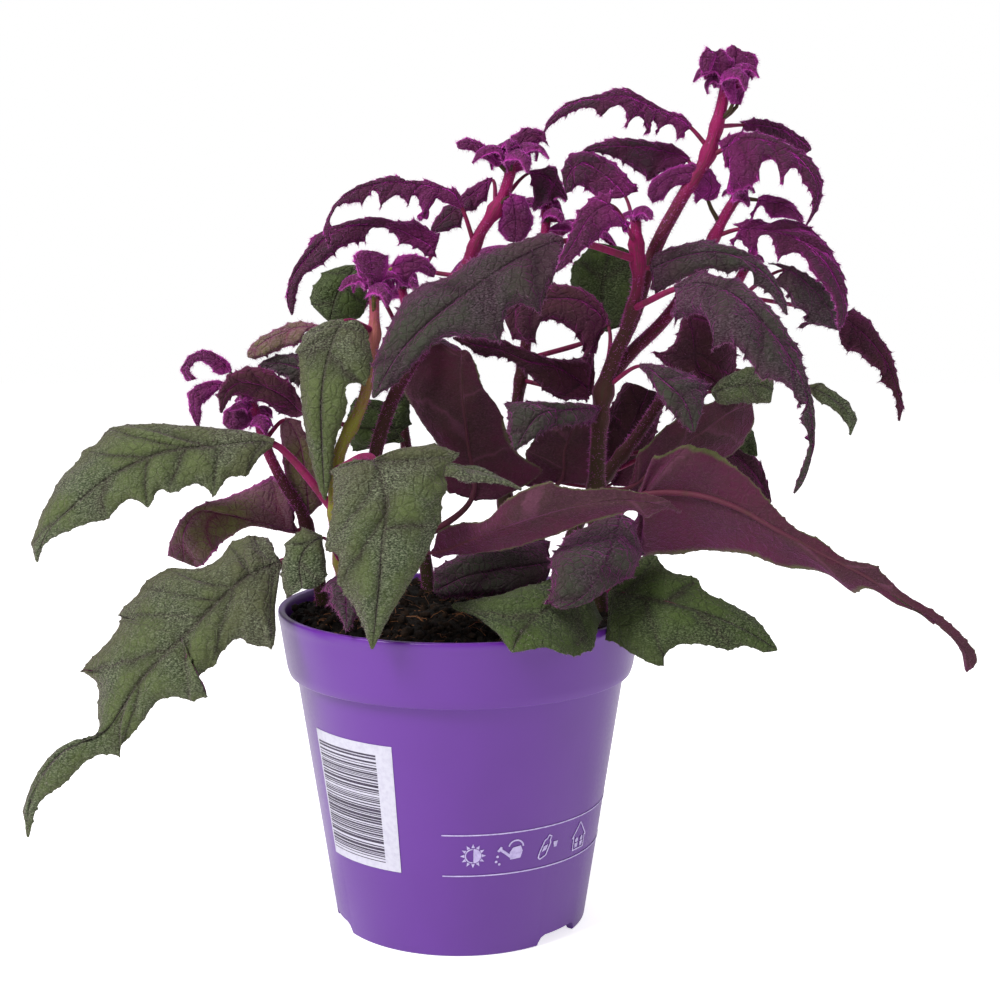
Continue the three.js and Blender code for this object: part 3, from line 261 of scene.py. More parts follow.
SPRIGS: tuple[Leaf, ...] = (
    Leaf("tall", 272, depths=(5, 2, 0), rib=(733, 104, 722, 78, 716, 54, 704, 52, 702, 74),
        left=(724, 90, 712, 62, 706, 46, 699, 62), right=(736, 84, 734, 58, 720, 48, 709, 72)),
    Leaf("tall", 272, depths=(10, 12, 10), rib=(738, 104, 736, 76, 738, 50, 748, 60, 752, 80),
        left=(728, 88, 722, 60, 732, 43, 744, 68), right=(746, 88, 748, 66, 752, 52, 756, 76)),
    Leaf("tall.1", 238, depths=(10, 2), turn=-10, rib=(708, 200, 711, 186, 696, 174, 670, 177,
        648, 196), left=(702, 198, 694, 201, 690, 187, 677, 187, 665, 200, 652, 203),
        right=(716, 199, 722, 184, 712, 168, 692, 162, 668, 168, 650, 182)),
    Leaf("tall.1", 247, depths=(8, 5), turn=10, rib=(758, 200, 778, 203, 794, 211, 802, 222),
        left=(765, 194, 783, 197, 797, 206, 804, 218), right=(749, 221, 760, 206, 771, 219,
        792, 219)),
    Leaf("brown", 238, depths=(1, 4), rib=(510, 196, 515, 212, 516, 228, 515, 242), left=(526, 196,
        532, 212, 535, 226, 524, 240), right=(502, 203, 500, 216, 497, 232, 506, 241)),
    Leaf("brown", 254, depths=(2, 0), turn=-10, rib=(500, 165, 484, 150, 468, 142, 458, 148),
        left=(494, 166, 482, 158, 470, 150, 463, 150), right=(492, 152, 480, 140, 466, 136,
        456, 143)),
    Leaf("brown", 254, depths=(6, 8), rib=(512, 165, 520, 145, 532, 132, 546, 140), left=(508, 152,
        512, 134, 528, 126, 545, 132), right=(522, 160, 534, 150, 542, 142, 549, 146)),
    Leaf("yellow", 214, depths=(-10, -8), turn=10, rib=(392, 268, 411, 262, 427, 267, 434, 277),
        left=(398, 255, 413, 253, 428, 258, 436, 270), right=(396, 288, 409, 287, 416, 272,
        428, 276)),
    Leaf("yellow", 206, depths=(-14, -22), rib=(373, 285, 372, 268, 370, 251), left=(360, 285,
        355, 268, 352, 256, 361, 250), right=(384, 285, 388, 270, 389, 256, 380, 252)),
    Leaf("low_left", 178, depths=(-2, -6), turn=-10, rib=(230, 372, 221, 360, 204, 353, 190, 359,
        185, 370, 191, 380), left=(222, 375, 212, 372, 203, 362, 194, 363, 190, 371, 196, 379),
        right=(229, 362, 216, 353, 202, 349, 187, 356, 180, 370, 187, 381)),
    Leaf("low_left", 175, depths=(-2, -8), turn=-10, rib=(226, 385, 207, 387, 195, 394, 198, 427),
        left=(215, 393, 208, 401, 202, 405, 201, 418), right=(215, 380, 197, 385, 186, 393,
        189, 411)),
    Leaf("low_left", 172, depths=(-2, -4), turn=-10, rib=(257, 407, 241, 404, 230, 412, 229, 429),
        left=(256, 421, 248, 428, 240, 431, 234, 431), right=(250, 401, 238, 402, 224, 411,
        222, 424)),
    young("back_left", 212, azimuth=125, length=34, rise=45, droop=110, width=15),
    young("back_left", 203, azimuth=30, length=42, rise=35, droop=100, width=18),
    young("back_middle", 236, azimuth=15, length=34, rise=40, droop=110, width=15),
    young("back_middle", 226, azimuth=160, length=44, rise=35, droop=100, width=18),
)

LEAVES: dict[str, Leaf] = {
    "far_left": Leaf("yellow", 143, kind=Kind.MATURE, turn=-35, base=1, depths=(-16, -22, -27, -27),
        rib=(292, 459, 271, 443, 215, 446, 165, 452, 115, 474, 75, 505, 48, 532, 37, 562),
        left=(262, 455, 246, 477, 228, 478, 212, 498, 198, 484, 170, 493, 160, 490, 148, 508,
        130, 499, 104, 521, 70, 530, 44, 545), right=(258, 434, 223, 427, 190, 425, 165, 425,
        127, 422, 108, 427, 101, 440, 82, 450, 67, 470, 50, 498, 38, 520, 31, 545)),
    "low_left": Leaf("low_left", 124, kind=Kind.MATURE, turn=-30, depths=(-27, -44, -50, -50),
        rib=(281, 562, 245, 578, 196, 625, 144, 677, 105, 730, 63, 752, 38, 783, 28, 815, 28, 837),
        left=(276, 600, 272, 650, 252, 645, 238, 638, 225, 650, 213, 667, 200, 675, 197, 682,
        208, 697, 190, 701, 160, 700, 142, 722, 122, 745, 120, 757, 95, 756, 64, 784, 40, 802),
        right=(268, 537, 255, 534, 243, 538, 228, 545, 205, 566, 168, 569, 140, 585, 117, 615,
        122, 622, 100, 648, 78, 672, 97, 682, 97, 710, 95, 735, 60, 747, 32, 782, 22, 812)),
    "low_small": Leaf("yellow", 126, kind=Kind.MATURE, depths=(-33, -38), rib=(322, 538, 308, 546,
        300, 562, 302, 588), left=(324, 550, 327, 565, 324, 582, 311, 589), right=(302, 527,
        285, 545, 281, 572, 287, 598)),
    "middle_left": Leaf("low_left", 136, kind=Kind.MATURE, turn=-30, depths=(3, -12), rib=(298, 531,
        262, 524, 225, 514, 198, 512, 184, 532, 184, 562), left=(288, 532, 262, 527, 247, 527,
        237, 532, 224, 542, 214, 552, 206, 562, 196, 568), right=(292, 478, 272, 476, 250, 487,
        228, 496, 205, 503, 185, 515, 173, 532, 168, 556)),
    "front_hanging": Leaf("yellow", 157, kind=Kind.MATURE, depths=(-49, -63, -67, -67),
        rib=(374, 460, 386, 501, 383, 540, 380, 570, 376, 612, 372, 649), left=(400, 448, 435, 442,
        459, 455, 447, 468, 447, 489, 441, 500, 443, 522, 424, 560, 392, 612), right=(352, 460,
        330, 470, 334, 500, 325, 551, 338, 557, 338, 585, 346, 598, 357, 613, 366, 635)),
    "dark_hanging": Leaf("yellow", 203, kind=Kind.MATURE, turn=-15, depths=(-21, -25, -20),
        rib=(344, 322, 330, 350, 322, 390, 322, 440, 325, 500), left=(355, 320, 370, 335, 372, 360,
        364, 386, 347, 386, 347, 405, 336, 440, 331, 475), right=(325, 322, 302, 335, 296, 350,
        300, 372, 300, 398, 303, 420, 308, 445, 316, 480)),
    "shoulder_left": Leaf("yellow", 200, turn=-30, depths=(1, 4), rib=(322, 328, 300, 327, 272, 337,
        255, 349, 248, 357), left=(303, 334, 298, 346, 284, 348, 268, 355, 255, 359),
        right=(310, 323, 296, 321, 272, 330, 256, 340, 247, 351)),
    "maroon_left": Leaf("yellow", 172, turn=20, depths=(-6, -12, -12), rib=(303, 413, 285, 397,
        262, 386, 240, 383, 227, 392, 221, 413), left=(296, 418, 275, 414, 262, 404, 247, 402,
        234, 397, 227, 404), right=(302, 402, 290, 380, 268, 369, 243, 367, 226, 376, 217, 396)),
    "rim_dark": Leaf("yellow", 119, azimuth=-84, length=46, rise=35, droop=90, width=15, stalk=12),
    "long_dark": Leaf("tall.0", 226, turn=-25, depths=(-26, -32, -32), rib=(564, 241, 525, 255,
        486, 279, 439, 314, 402, 350, 373, 398), left=(562, 262, 552, 285, 540, 316, 515, 305,
        499, 346, 470, 338, 440, 340, 412, 368, 387, 390), right=(550, 232, 520, 238, 495, 247,
        470, 258, 445, 274, 420, 281, 402, 298, 383, 332, 370, 365)),
    "arch_right": Leaf("tall.0", 224, turn=30, depths=(-12, -18), rib=(650, 268, 680, 257, 712, 252,
        740, 258, 765, 274, 780, 294, 787, 315), left=(655, 252, 680, 242, 712, 238, 740, 247,
        760, 257, 772, 272, 780, 287, 787, 303), right=(655, 297, 675, 284, 710, 269, 730, 274,
        750, 270, 754, 286, 768, 292, 777, 303)),
    "tailed": Leaf("tall.0", 210, turn=30, depths=(-29, -46, -51, -44), rib=(675, 289, 700, 283,
        726, 290, 752, 310, 776, 338, 795, 366, 806, 392, 812, 420, 812, 450, 804, 478, 794, 493),
        left=(688, 276, 704, 268, 720, 275, 740, 276, 758, 293, 778, 311, 788, 330, 804, 352,
        807, 375, 814, 405, 816, 435, 806, 481), right=(673, 323, 700, 315, 711, 350, 732, 343,
        741, 353, 752, 366, 761, 379, 785, 385, 801, 407, 806, 405, 799, 419, 809, 440)),
    "top_left": Leaf("tall", 263, turn=-30, depths=(6, 0, -2), rib=(690, 127, 672, 115, 655, 108,
        640, 101, 622, 96, 600, 99, 580, 101, 560, 110, 549, 120, 544, 132), left=(677, 142,
        671, 124, 657, 133, 652, 118, 645, 134, 640, 117, 626, 127, 621, 106, 600, 117, 592, 108,
        569, 114, 549, 127), right=(682, 112, 668, 110, 658, 106, 650, 101, 642, 97, 634, 92,
        626, 87, 616, 87, 600, 93, 585, 96, 565, 104, 546, 124)),
    "second_left": Leaf("tall", 253, turn=-25, depths=(10, 14, 12), rib=(688, 160, 670, 152,
        650, 148, 625, 146, 600, 147, 583, 151), left=(680, 170, 665, 172, 648, 182, 634, 170,
        616, 158, 600, 153), right=(682, 149, 670, 143, 652, 140, 630, 137, 608, 138, 592, 144)),
    "right_upper": Leaf("tall", 270, turn=25, depths=(19, 24), rib=(745, 125, 765, 126, 785, 131,
        800, 140, 811, 150), left=(740, 121, 756, 118, 780, 123, 797, 134, 809, 143),
        right=(742, 130, 760, 134, 780, 140, 795, 148, 806, 154)),
    "right_arch": Leaf("tall", 261, turn=25, depths=(5, -7, -8), rib=(722, 150, 740, 138, 765, 140,
        790, 151, 808, 168, 818, 190, 814, 210, 806, 226), left=(718, 141, 726, 136, 742, 130,
        757, 132, 776, 137, 792, 146, 807, 154, 819, 168, 824, 185, 820, 204), right=(728, 170,
        738, 157, 731, 196, 760, 179, 768, 160, 782, 185, 795, 168, 803, 184, 811, 194, 811, 212)),
    "broad_purple": Leaf("tall.0", 231, turn=-20, depths=(2, 5, 3), rib=(625, 196, 605, 175,
        582, 163, 569, 175, 566, 193), left=(612, 200, 598, 198, 586, 190, 578, 186, 575, 188,
        572, 191), right=(640, 187, 624, 170, 612, 157, 590, 150, 567, 153, 560, 172)),
    "pointed": Leaf("tall.0", 231, turn=-20, depths=(-28, -36), rib=(610, 205, 592, 214, 578, 236,
        566, 256, 556, 272), left=(630, 232, 612, 228, 598, 240, 582, 251, 568, 264),
        right=(612, 190, 590, 196, 576, 212, 567, 240, 559, 262)),
    "right_large": Leaf("tall.1", 234, turn=25, depths=(10, 2, 2), rib=(740, 229, 770, 231,
        800, 240, 825, 262, 840, 290, 844, 312, 839, 331), left=(733, 223, 753, 218, 775, 221,
        792, 217, 815, 229, 830, 243, 840, 262, 848, 285, 849, 310), right=(731, 245, 739, 240,
        752, 256, 758, 238, 768, 235, 778, 261, 800, 254, 812, 272, 834, 300)),
    "behind_right": Leaf("right", 206, turn=25, depths=(15, 16), rib=(785, 270, 810, 286, 828, 306,
        838, 330), left=(770, 260, 790, 266, 812, 276, 828, 286, 837, 300, 841, 318),
        right=(775, 283, 788, 296, 792, 305, 806, 315, 800, 328, 825, 327)),
    "far_right": Leaf("right", 214, turn=25, depths=(38, 34), rib=(840, 316, 858, 328, 875, 346,
        888, 366, 897, 390, 901, 408, 899, 421), left=(856, 306, 871, 319, 881, 336, 893, 350,
        895, 362, 899, 380, 902, 395, 904, 408), right=(838, 335, 847, 352, 859, 354, 868, 363,
        881, 373, 879, 382, 893, 392, 897, 408)),
    "green_right": Leaf("right", 191, kind=Kind.MATURE, turn=25, depths=(11, 6), rib=(808, 387,
        830, 397, 846, 411, 853, 424, 850, 435), left=(822, 383, 838, 394, 850, 404, 857, 420),
        right=(818, 401, 832, 408, 843, 419, 849, 429)),
    "dark_right": Leaf("tall", 183, turn=20, depths=(-16, -30, -33), rib=(640, 366, 665, 382,
        685, 402, 694, 432), left=(665, 365, 698, 373, 713, 384, 703, 412), right=(652, 385,
        662, 402, 674, 416, 686, 428)),
    "middle_right": Leaf("right", 180, kind=Kind.MATURE, turn=20, depths=(4, -13), rib=(712, 392,
        735, 386, 755, 384, 773, 389), left=(720, 380, 740, 370, 760, 366, 774, 371),
        right=(718, 403, 740, 403, 757, 403, 771, 402)),
    "low_right": Leaf("right", 158, turn=20, depths=(30, 26), rib=(700, 445, 730, 452, 752, 470,
        771, 502), left=(722, 436, 745, 447, 758, 457, 765, 465, 768, 482), right=(700, 475,
        715, 492, 735, 505, 750, 512, 763, 512)),
    "underside_right": Leaf("tall", 150, kind=Kind.UNDERSIDE, turn=-20, depths=(-5, 10),
        rib=(629, 488, 660, 462, 700, 433, 730, 412, 752, 403), left=(640, 450, 665, 428, 690, 412,
        715, 402, 745, 400), right=(655, 500, 690, 480, 718, 462, 742, 442, 753, 420)),
    "big_right": Leaf("tall", 132, kind=Kind.UNDERSIDE, turn=-25, depths=(-17, -33, -40, -38),
        rib=(640, 496, 690, 494, 735, 507, 775, 529, 820, 553, 860, 573, 905, 601, 943, 628,
        965, 652, 972, 668), left=(655, 456, 691, 445, 715, 452, 734, 467, 752, 482, 771, 504,
        795, 528, 820, 540, 845, 559, 878, 567, 893, 584, 942, 617, 966, 640, 977, 660),
        right=(632, 535, 645, 556, 675, 551, 704, 550, 745, 553, 786, 564, 830, 574, 855, 593,
        866, 586, 900, 604, 927, 617, 948, 633, 962, 652, 967, 672)),
    "front_mauve": Leaf("brown", 136, kind=Kind.UNDERSIDE, turn=-15, depths=(-34, -54, -57, -56),
        rib=(432, 553, 470, 540, 520, 522, 570, 508, 620, 500, 660, 504, 681, 513), left=(440, 532,
        463, 523, 485, 521, 512, 498, 550, 482, 575, 489, 615, 489, 645, 494, 670, 502),
        right=(440, 558, 470, 553, 503, 549, 540, 538, 575, 525, 612, 515, 636, 509, 648, 517,
        668, 509)),
    "over_rim": Leaf("tall", 116, kind=Kind.MATURE, turn=-35, depths=(-30, -52, -62, -68, -70),
        rib=(590, 590, 560, 602, 535, 618, 520, 636, 512, 652), left=(602, 620, 592, 651, 577, 655,
        560, 653, 545, 648, 528, 650), right=(550, 578, 515, 588, 480, 598, 453, 606, 475, 619,
        497, 634)),
    "rim_right": Leaf("tall", 124, kind=Kind.MATURE, turn=40, depths=(-30, -42, -48, -50, -52),
        rib=(610, 590, 655, 600, 700, 612, 740, 628, 777, 650), left=(634, 555, 656, 557, 673, 571,
        698, 578, 702, 588, 725, 600, 752, 616, 771, 638), right=(604, 640, 635, 655, 664, 666,
        672, 648, 700, 644, 733, 650, 745, 646, 765, 652)),
    "folded": Leaf("tall", 142, cup=35, depths=(-38, -50, -58, -62, -64), rib=(620, 515, 613, 545,
        601, 574, 582, 597, 560, 609), left=(638, 520, 645, 555, 636, 580, 612, 590, 587, 604),
        right=(590, 521, 562, 535, 550, 560, 550, 585, 545, 603)),
    "low_dark": Leaf("back_middle", 118, turn=-20, depths=(10, -14), rib=(550, 562, 505, 569,
        465, 577, 434, 592), left=(545, 590, 505, 597, 470, 597, 442, 596), right=(545, 534,
        503, 540, 455, 556, 432, 570)),
    "fuzzy": Leaf("brown", 152, kind=Kind.MATURE, azimuth=-28, length=58, rise=26, droop=50,
        width=24, stalk=14),
    "dark_horizontal": Leaf("tall", 173, turn=-20, depths=(-11, -27, -32), rib=(600, 410, 565, 410,
        538, 416, 515, 450), left=(592, 427, 573, 425, 553, 428, 537, 437, 524, 445),
        right=(588, 403, 558, 402, 527, 399, 502, 401, 507, 430)),
    "big_magenta": Leaf("brown", 124, kind=Kind.UNDERSIDE, depths=(2, 4, 2), rib=(471, 500,
        467, 440, 463, 400, 461, 351), left=(448, 490, 440, 450, 420, 415, 404, 385, 412, 365,
        425, 352, 440, 344), right=(500, 497, 540, 470, 512, 448, 500, 412, 482, 388, 475, 365,
        466, 350)),
    "maroon_middle": Leaf("tall", 181, turn=-20, depths=(8, 8), rib=(608, 325, 585, 302, 555, 298,
        525, 302, 505, 320), left=(585, 362, 570, 330, 545, 322, 536, 346, 510, 338),
        right=(600, 300, 575, 285, 550, 282, 525, 287, 503, 302)),
    "dark_arch": Leaf("back_middle", 183, turn=-20, depths=(26, 14), rib=(590, 394, 560, 368,
        530, 362, 500, 350, 475, 345, 453, 338), left=(588, 402, 558, 400, 545, 392, 528, 374,
        505, 358, 478, 355), right=(596, 346, 572, 358, 545, 355, 520, 345, 498, 337, 470, 335)),
    "left_arch": Leaf("brown", 231, turn=-25, depths=(0, -6), rib=(462, 208, 452, 192, 430, 186,
        390, 182, 355, 190, 335, 207, 326, 228, 330, 248), left=(446, 204, 432, 199, 420, 222,
        411, 194, 406, 204, 399, 196, 378, 210, 374, 191, 364, 204, 352, 203, 338, 206, 329, 225),
        right=(457, 188, 445, 187, 430, 180, 415, 180, 402, 180, 390, 175, 376, 179, 365, 182,
        352, 188, 342, 196, 333, 205, 322, 232)),
    "left_arch_low": Leaf("brown", 220, turn=-20, base=1, depths=(4, 4), rib=(426, 268, 433, 250,
        412, 236, 385, 226, 350, 226, 325, 238, 308, 256, 294, 276, 287, 297, 292, 315),
        left=(436, 257, 425, 256, 410, 245, 399, 244, 391, 231, 370, 229, 365, 243, 341, 248,
        331, 257, 319, 267, 303, 277), right=(442, 233, 425, 224, 415, 217, 400, 219, 375, 215,
        350, 219, 327, 226, 308, 237, 303, 252, 290, 272, 284, 297)),
    "green_behind": Leaf("back_left", 198, kind=Kind.MATURE, turn=-10, depths=(23, 22),
        rib=(360, 268, 346, 280, 336, 298, 330, 322), left=(366, 278, 368, 292, 366, 305, 360, 318,
        345, 326), right=(340, 266, 322, 273, 313, 288, 310, 305, 318, 312)),
    "behind_left": Leaf("low_left", 165, kind=Kind.MATURE, depths=(4, 6), rib=(285, 420, 297, 435,
        305, 470, 309, 515), left=(301, 421, 309, 440, 318, 470, 322, 505), right=(283, 422,
        281, 442, 284, 470, 293, 500)),
    "back_low": Leaf("back_left", 138, kind=Kind.MATURE, depths=(26, 22), rib=(402, 442, 392, 424,
        384, 402), left=(352, 452, 342, 425, 356, 398), right=(400, 434, 412, 424, 408, 392)),
    "back_left_side": Leaf("yellow", 188, turn=-20, depths=(0, 4), rib=(312, 373, 296, 367,
        277, 363, 258, 366), left=(297, 388, 282, 376, 268, 370), right=(299, 351, 281, 353,
        263, 361)),
    "back_high": Leaf("back_left", 188, azimuth=75, length=72, rise=35, droop=90, width=26, teeth=3,
        stalk=10),
    "back_centre": Leaf("back_middle", 140, kind=Kind.UNDERSIDE, depths=(26, 24), rib=(560, 482,
        565, 450, 575, 425, 592, 412), left=(526, 485, 527, 450, 545, 424, 578, 404),
        right=(600, 482, 605, 455, 606, 432, 602, 413)),
    "back_upper": Leaf("back_middle", 150, turn=10, depths=(34, 34), rib=(612, 484, 622, 450,
        635, 420, 648, 390), left=(600, 470, 601, 440, 605, 410, 626, 380), right=(634, 488,
        650, 455, 660, 425, 662, 396)),
    "back_arch": Leaf("back_middle", 190, kind=Kind.MATURE, turn=10, depths=(30, 22), rib=(604, 330,
        602, 300, 605, 270, 612, 246), left=(577, 322, 571, 290, 573, 262, 595, 244),
        right=(640, 320, 642, 290, 636, 262, 624, 248)),
    "back_right": Leaf("right", 152, kind=Kind.MATURE, turn=15, depths=(22, 16), rib=(712, 428,
        735, 432, 757, 456), left=(728, 421, 746, 419, 755, 438), right=(722, 438, 738, 448,
        750, 455)),
    "maroon_right": Leaf("right", 205, depths=(16, 12, 14), rib=(690, 310, 694, 340, 698, 368,
        715, 393), left=(732, 325, 739, 350, 736, 375, 726, 392), right=(682, 318, 670, 345,
        650, 353, 676, 376)),
    "brown_left": Leaf("brown", 243, turn=-20, depths=(12, 16), rib=(492, 180, 475, 192, 458, 207,
        443, 220, 431, 232), left=(488, 200, 472, 212, 466, 212, 461, 228, 443, 232),
        right=(481, 181, 466, 190, 455, 200, 441, 208, 433, 222)),
    "brown_right": Leaf("brown", 243, turn=20, depths=(14, 16), rib=(530, 173, 548, 177, 558, 188,
        567, 200), left=(541, 168, 557, 165, 561, 180, 566, 192), right=(532, 190, 533, 213,
        547, 206, 559, 197)),
}


class Route:
    """A smooth curve through points, measured along its own length."""

    SAMPLES_PER_SPAN = 60
    LEAST_GAP = 1e-4
    LOOK_AHEAD = 0.004
    HEIGHT_STEPS = 160

    def __init__(self, points: Array) -> None:
        """Samples a centripetal spline through the points.

        Args:
            points: The points that the curve passes through, in millimetres.
        """
        knots = np.asarray(points, float)
        run = np.vstack([2 * knots[0] - knots[1], knots, 2 * knots[-1] - knots[-2]])
        share = np.linspace(0, 1, self.SAMPLES_PER_SPAN, endpoint=False)[:, None]
        spans = [self._span(run[i : i + 4], share) for i in range(len(knots) - 1)]
        self.samples = np.vstack([*spans, knots[-1:]])
        self.reach = travelled(self.samples)
        self.length = float(self.reach[-1])

    def _span(self, four: Array, share: Array) -> Array:
        """Fills the span between the middle two of four points.

        Args:
            four: The four points.
            share: The shares of the span to fill.

        Returns:
            One point a share.
        """
        before, here, there, after = four
        gaps = [max(np.sum((b - a) ** 2) ** 0.25, self.LEAST_GAP) for a, b in zip(four, four[1:])]
        first = (here - before) / gaps[0] - (there - before) / (gaps[0] + gaps[1])
        leave = (first + (there - here) / gaps[1]) * gaps[1]
        second = (there - here) / gaps[1] - (after - here) / (gaps[1] + gaps[2])
        arrive = (second + (after - there) / gaps[2]) * gaps[1]
        square = -3 * here + 3 * there - 2 * leave - arrive
        cube = 2 * here - 2 * there + leave + arrive
        return here + leave * share + square * share**2 + cube * share**3

    def at(self, shares: Array | float) -> Array:
        """Finds the points at shares of the curve's length."""
        along = np.clip(shares, 0, 1) * self.length
        return np.stack([np.interp(along, self.reach, axis) for axis in self.samples.T], -1)

    def ahead(self, shares: Array | float) -> Array:
        """Finds the unit directions of travel at shares of the curve's length."""
        return unit(self.at(shares + self.LOOK_AHEAD) - self.at(shares - self.LOOK_AHEAD))

    def share_at_height(self, height: float) -> float:
        """Finds the share of the length where the curve is nearest a height."""
        spots = self.at(np.linspace(0, 1, self.HEIGHT_STEPS + 1))
        return float(np.argmin(np.abs(spots[:, 2] - height))) / self.HEIGHT_STEPS

    def at_height(self, height: float) -> Array:
        """Finds the point of the curve that is nearest a height."""
        return self.at(self.share_at_height(height))


class Form:
    """Gathers the vertices, faces, coordinates and finishes of one piece's mesh."""

    def __init__(self) -> None:
        """Starts with nothing in it."""
        self.points: list[Array] = []
        self.corners: list[Array] = []
        self.sizes: list[Array] = []
        self.slots: list[Array] = []
        self.maps: dict[str, list[Array]] = {"blade": [], "veins": []}
        self.count = 0

    def add(
        self,
        points: Array,
        faces: Array,
        slot: int = 0,
        blade: Array | None = None,
        veins: Array | None = None,
    ) -> None:
        """Adds faces that all have the same number of corners.

        Args:
            points: Vertex places in millimetres.
            faces: Vertex numbers, one row a face.
            slot: The material slot of these faces.
            blade: The first surface coordinate of each vertex, or of each face corner.
            veins: The second surface coordinate, given the same way.
        """
        points = points.reshape(-1, 3)
        self.points.append(points)
        self.corners.append((faces + self.count).ravel())
        self.sizes.append(np.full(len(faces), faces.shape[1]))
        self.slots.append(np.full(len(faces), slot))
        for name, given in (("blade", blade), ("veins", veins)):
            if given is None:
                spread = np.zeros((faces.size, 2))
            elif len(given) == len(points):
                spread = given[faces.ravel()]
            else:
                spread = given
            self.maps[name].append(spread)
        self.count += len(points)

    def piece(self, name: str, finishes: list[Material], is_smooth: bool = True) -> Object:
        """Makes the object that stands in the scene.

        Args:
            name: The piece's name.
            finishes: Its materials, in slot order.
            is_smooth: Whether its faces are shaded as one smooth surface.

        Returns:
            The new object, linked into the scene.
        """
        mesh = bpy.data.meshes.new(name)
        points = np.vstack(self.points) * MM
        corners, sizes = np.concatenate(self.corners), np.concatenate(self.sizes)
        starts = np.concatenate([[0], np.cumsum(sizes)[:-1]])
        mesh.vertices.add(len(points))
        mesh.vertices.foreach_set("co", points.astype(np.float32).ravel())
        mesh.loops.add(len(corners))
        mesh.loops.foreach_set("vertex_index", corners.astype(np.int32))
        mesh.polygons.add(len(sizes))
        mesh.polygons.foreach_set("loop_start", starts.astype(np.int32))
        mesh.polygons.foreach_set("material_index", np.concatenate(self.slots).astype(np.int32))
        mesh.polygons.foreach_set("use_smooth", np.full(len(sizes), is_smooth))
        for label, spread in self.maps.items():
            layer = mesh.uv_layers.new(name=label)
            layer.uv.foreach_set("vector", np.vstack(spread).astype(np.float32).ravel())
        mesh.update(calc_edges=True)
        mesh.validate()
        for finish in finishes:
            mesh.materials.append(finish)
        return stand(name, mesh)


def stand(name: str, data: bpy.types.ID) -> Object:
    """Stands a mesh, lamp or camera in the scene.

    Args:
        name: The object's name.
        data: What it shows.

    Returns:
        The new object.
    """
    made = bpy.data.objects.new(name, data)
    bpy.context.scene.collection.objects.link(made)
    return made


def grid_faces(rows: int, columns: int, is_closed: bool = False) -> Array:
    """Numbers the four-cornered faces of a grid of vertices.

    Args:
        rows: Rows of vertices.
        columns: Vertices in a row.
        is_closed: Whether each row joins back to its own start.

    Returns:
        One row of four vertex numbers a face.
    """
    wide = columns if is_closed else columns - 1
    row, column = np.meshgrid(np.arange(rows - 1), np.arange(wide), indexing="ij")
    near = row * columns + column
    beside = row * columns + (column + 1) % columns
    return np.stack([near, near + columns, beside + columns, beside], -1).reshape(-1, 4)


def fan_faces(count: int) -> Array:
    """Numbers the three-cornered faces between a ring of vertices and the one after them."""
    first = np.arange(count)
    return np.stack([first, (first + 1) % count, np.full(count, count)], -1)


def rings_round(centres: Array, across: Array, up: Array, radii: Array, count: int) -> Array:
    """Sets rings of points round centres.

    Args:
        centres: The centre of each ring.
        across: A cross direction at each centre.
        up: The other cross direction.
        radii: The radius of each ring, or of each of its points, as a column.
        count: Points in a ring.

    Returns:
        The points, by ring.
    """
    around = circle(count)
    ring = around[None, :, :1] * across[:, None] + around[None, :, 1:] * up[:, None]
    return centres[:, None] + ring * radii[..., None]


def tube(
    centres: Array, ahead: Array, radii: Array, sides: int, side: Array
) -> tuple[Array, Array]:
    """Sweeps a round section along a line of centres, without twisting it.

    Args:
        centres: The centre of each ring.
        ahead: The direction of travel at each ring.
        radii: The radius of each ring, or of each of its points.
        sides: Points in a ring.
        side: A first cross direction.

    Returns:
        The vertices and the four-cornered faces.
    """
    across = np.zeros_like(ahead)
    for i, forward in enumerate(ahead):
        side = unit(side - forward * np.dot(side, forward))
        across[i] = side
    wide = radii[:, None] if radii.ndim == 1 else radii
    points = rings_round(centres, across, np.cross(ahead, across), wide, sides)
    return points.reshape(-1, 3), grid_faces(len(centres), sides, is_closed=True)


class Hairs:
    """Slim three-sided pointed hairs, gathered before they are made."""

    SUNK = 0.1
    STEEP = 0.9
    SIDES = 3

    def __init__(self, thickness: float) -> None:
        """Starts with none, and takes the radius at a hair's root."""
        self.thickness = thickness
        self.grown: list[tuple[Array, Array, Array]] = []

    def sow(self, roots: Array, leans: Array, reaches: Array) -> None:
        """Adds hairs by the place, the unit direction and the length of each."""
        self.grown.append((roots, leans, reaches))

    def tufts(self) -> tuple[Array, Array]:
        """Makes the hairs.

        Returns:
            The vertices and the three-cornered faces.
        """
        roots, leans, reaches = (np.concatenate(part) for part in zip(*self.grown))
        is_flat = np.abs(leans[:, 2:]) < self.STEEP
        across = unit(np.cross(leans, np.where(is_flat, [[0.0, 0.0, 1.0]], [[1.0, 0.0, 0.0]])))
        thick = np.full((1, 1), self.thickness)
        up = np.cross(leans, across)
        base = rings_round(roots - leans * self.SUNK, across, up, thick, self.SIDES)
        tips = roots + leans * reaches[:, None]
        points = np.concatenate([base, tips[:, None]], 1)
        one = fan_faces(self.SIDES)
        first = np.arange(len(roots))[:, None, None] * (self.SIDES + 1)
        return points.reshape(-1, 3), (first + one).reshape(-1, 3)


@dataclass(frozen=True)
class Growth:
    """How finely a blade of one age is laid out, and how strong its relief is."""

    reaches: tuple[float, ...]
    row_step: float
    least_rows: int
    most_rows: int
    puff: float
    wave: float
    tooth: float
    thickness: float
    stalk_rings: int


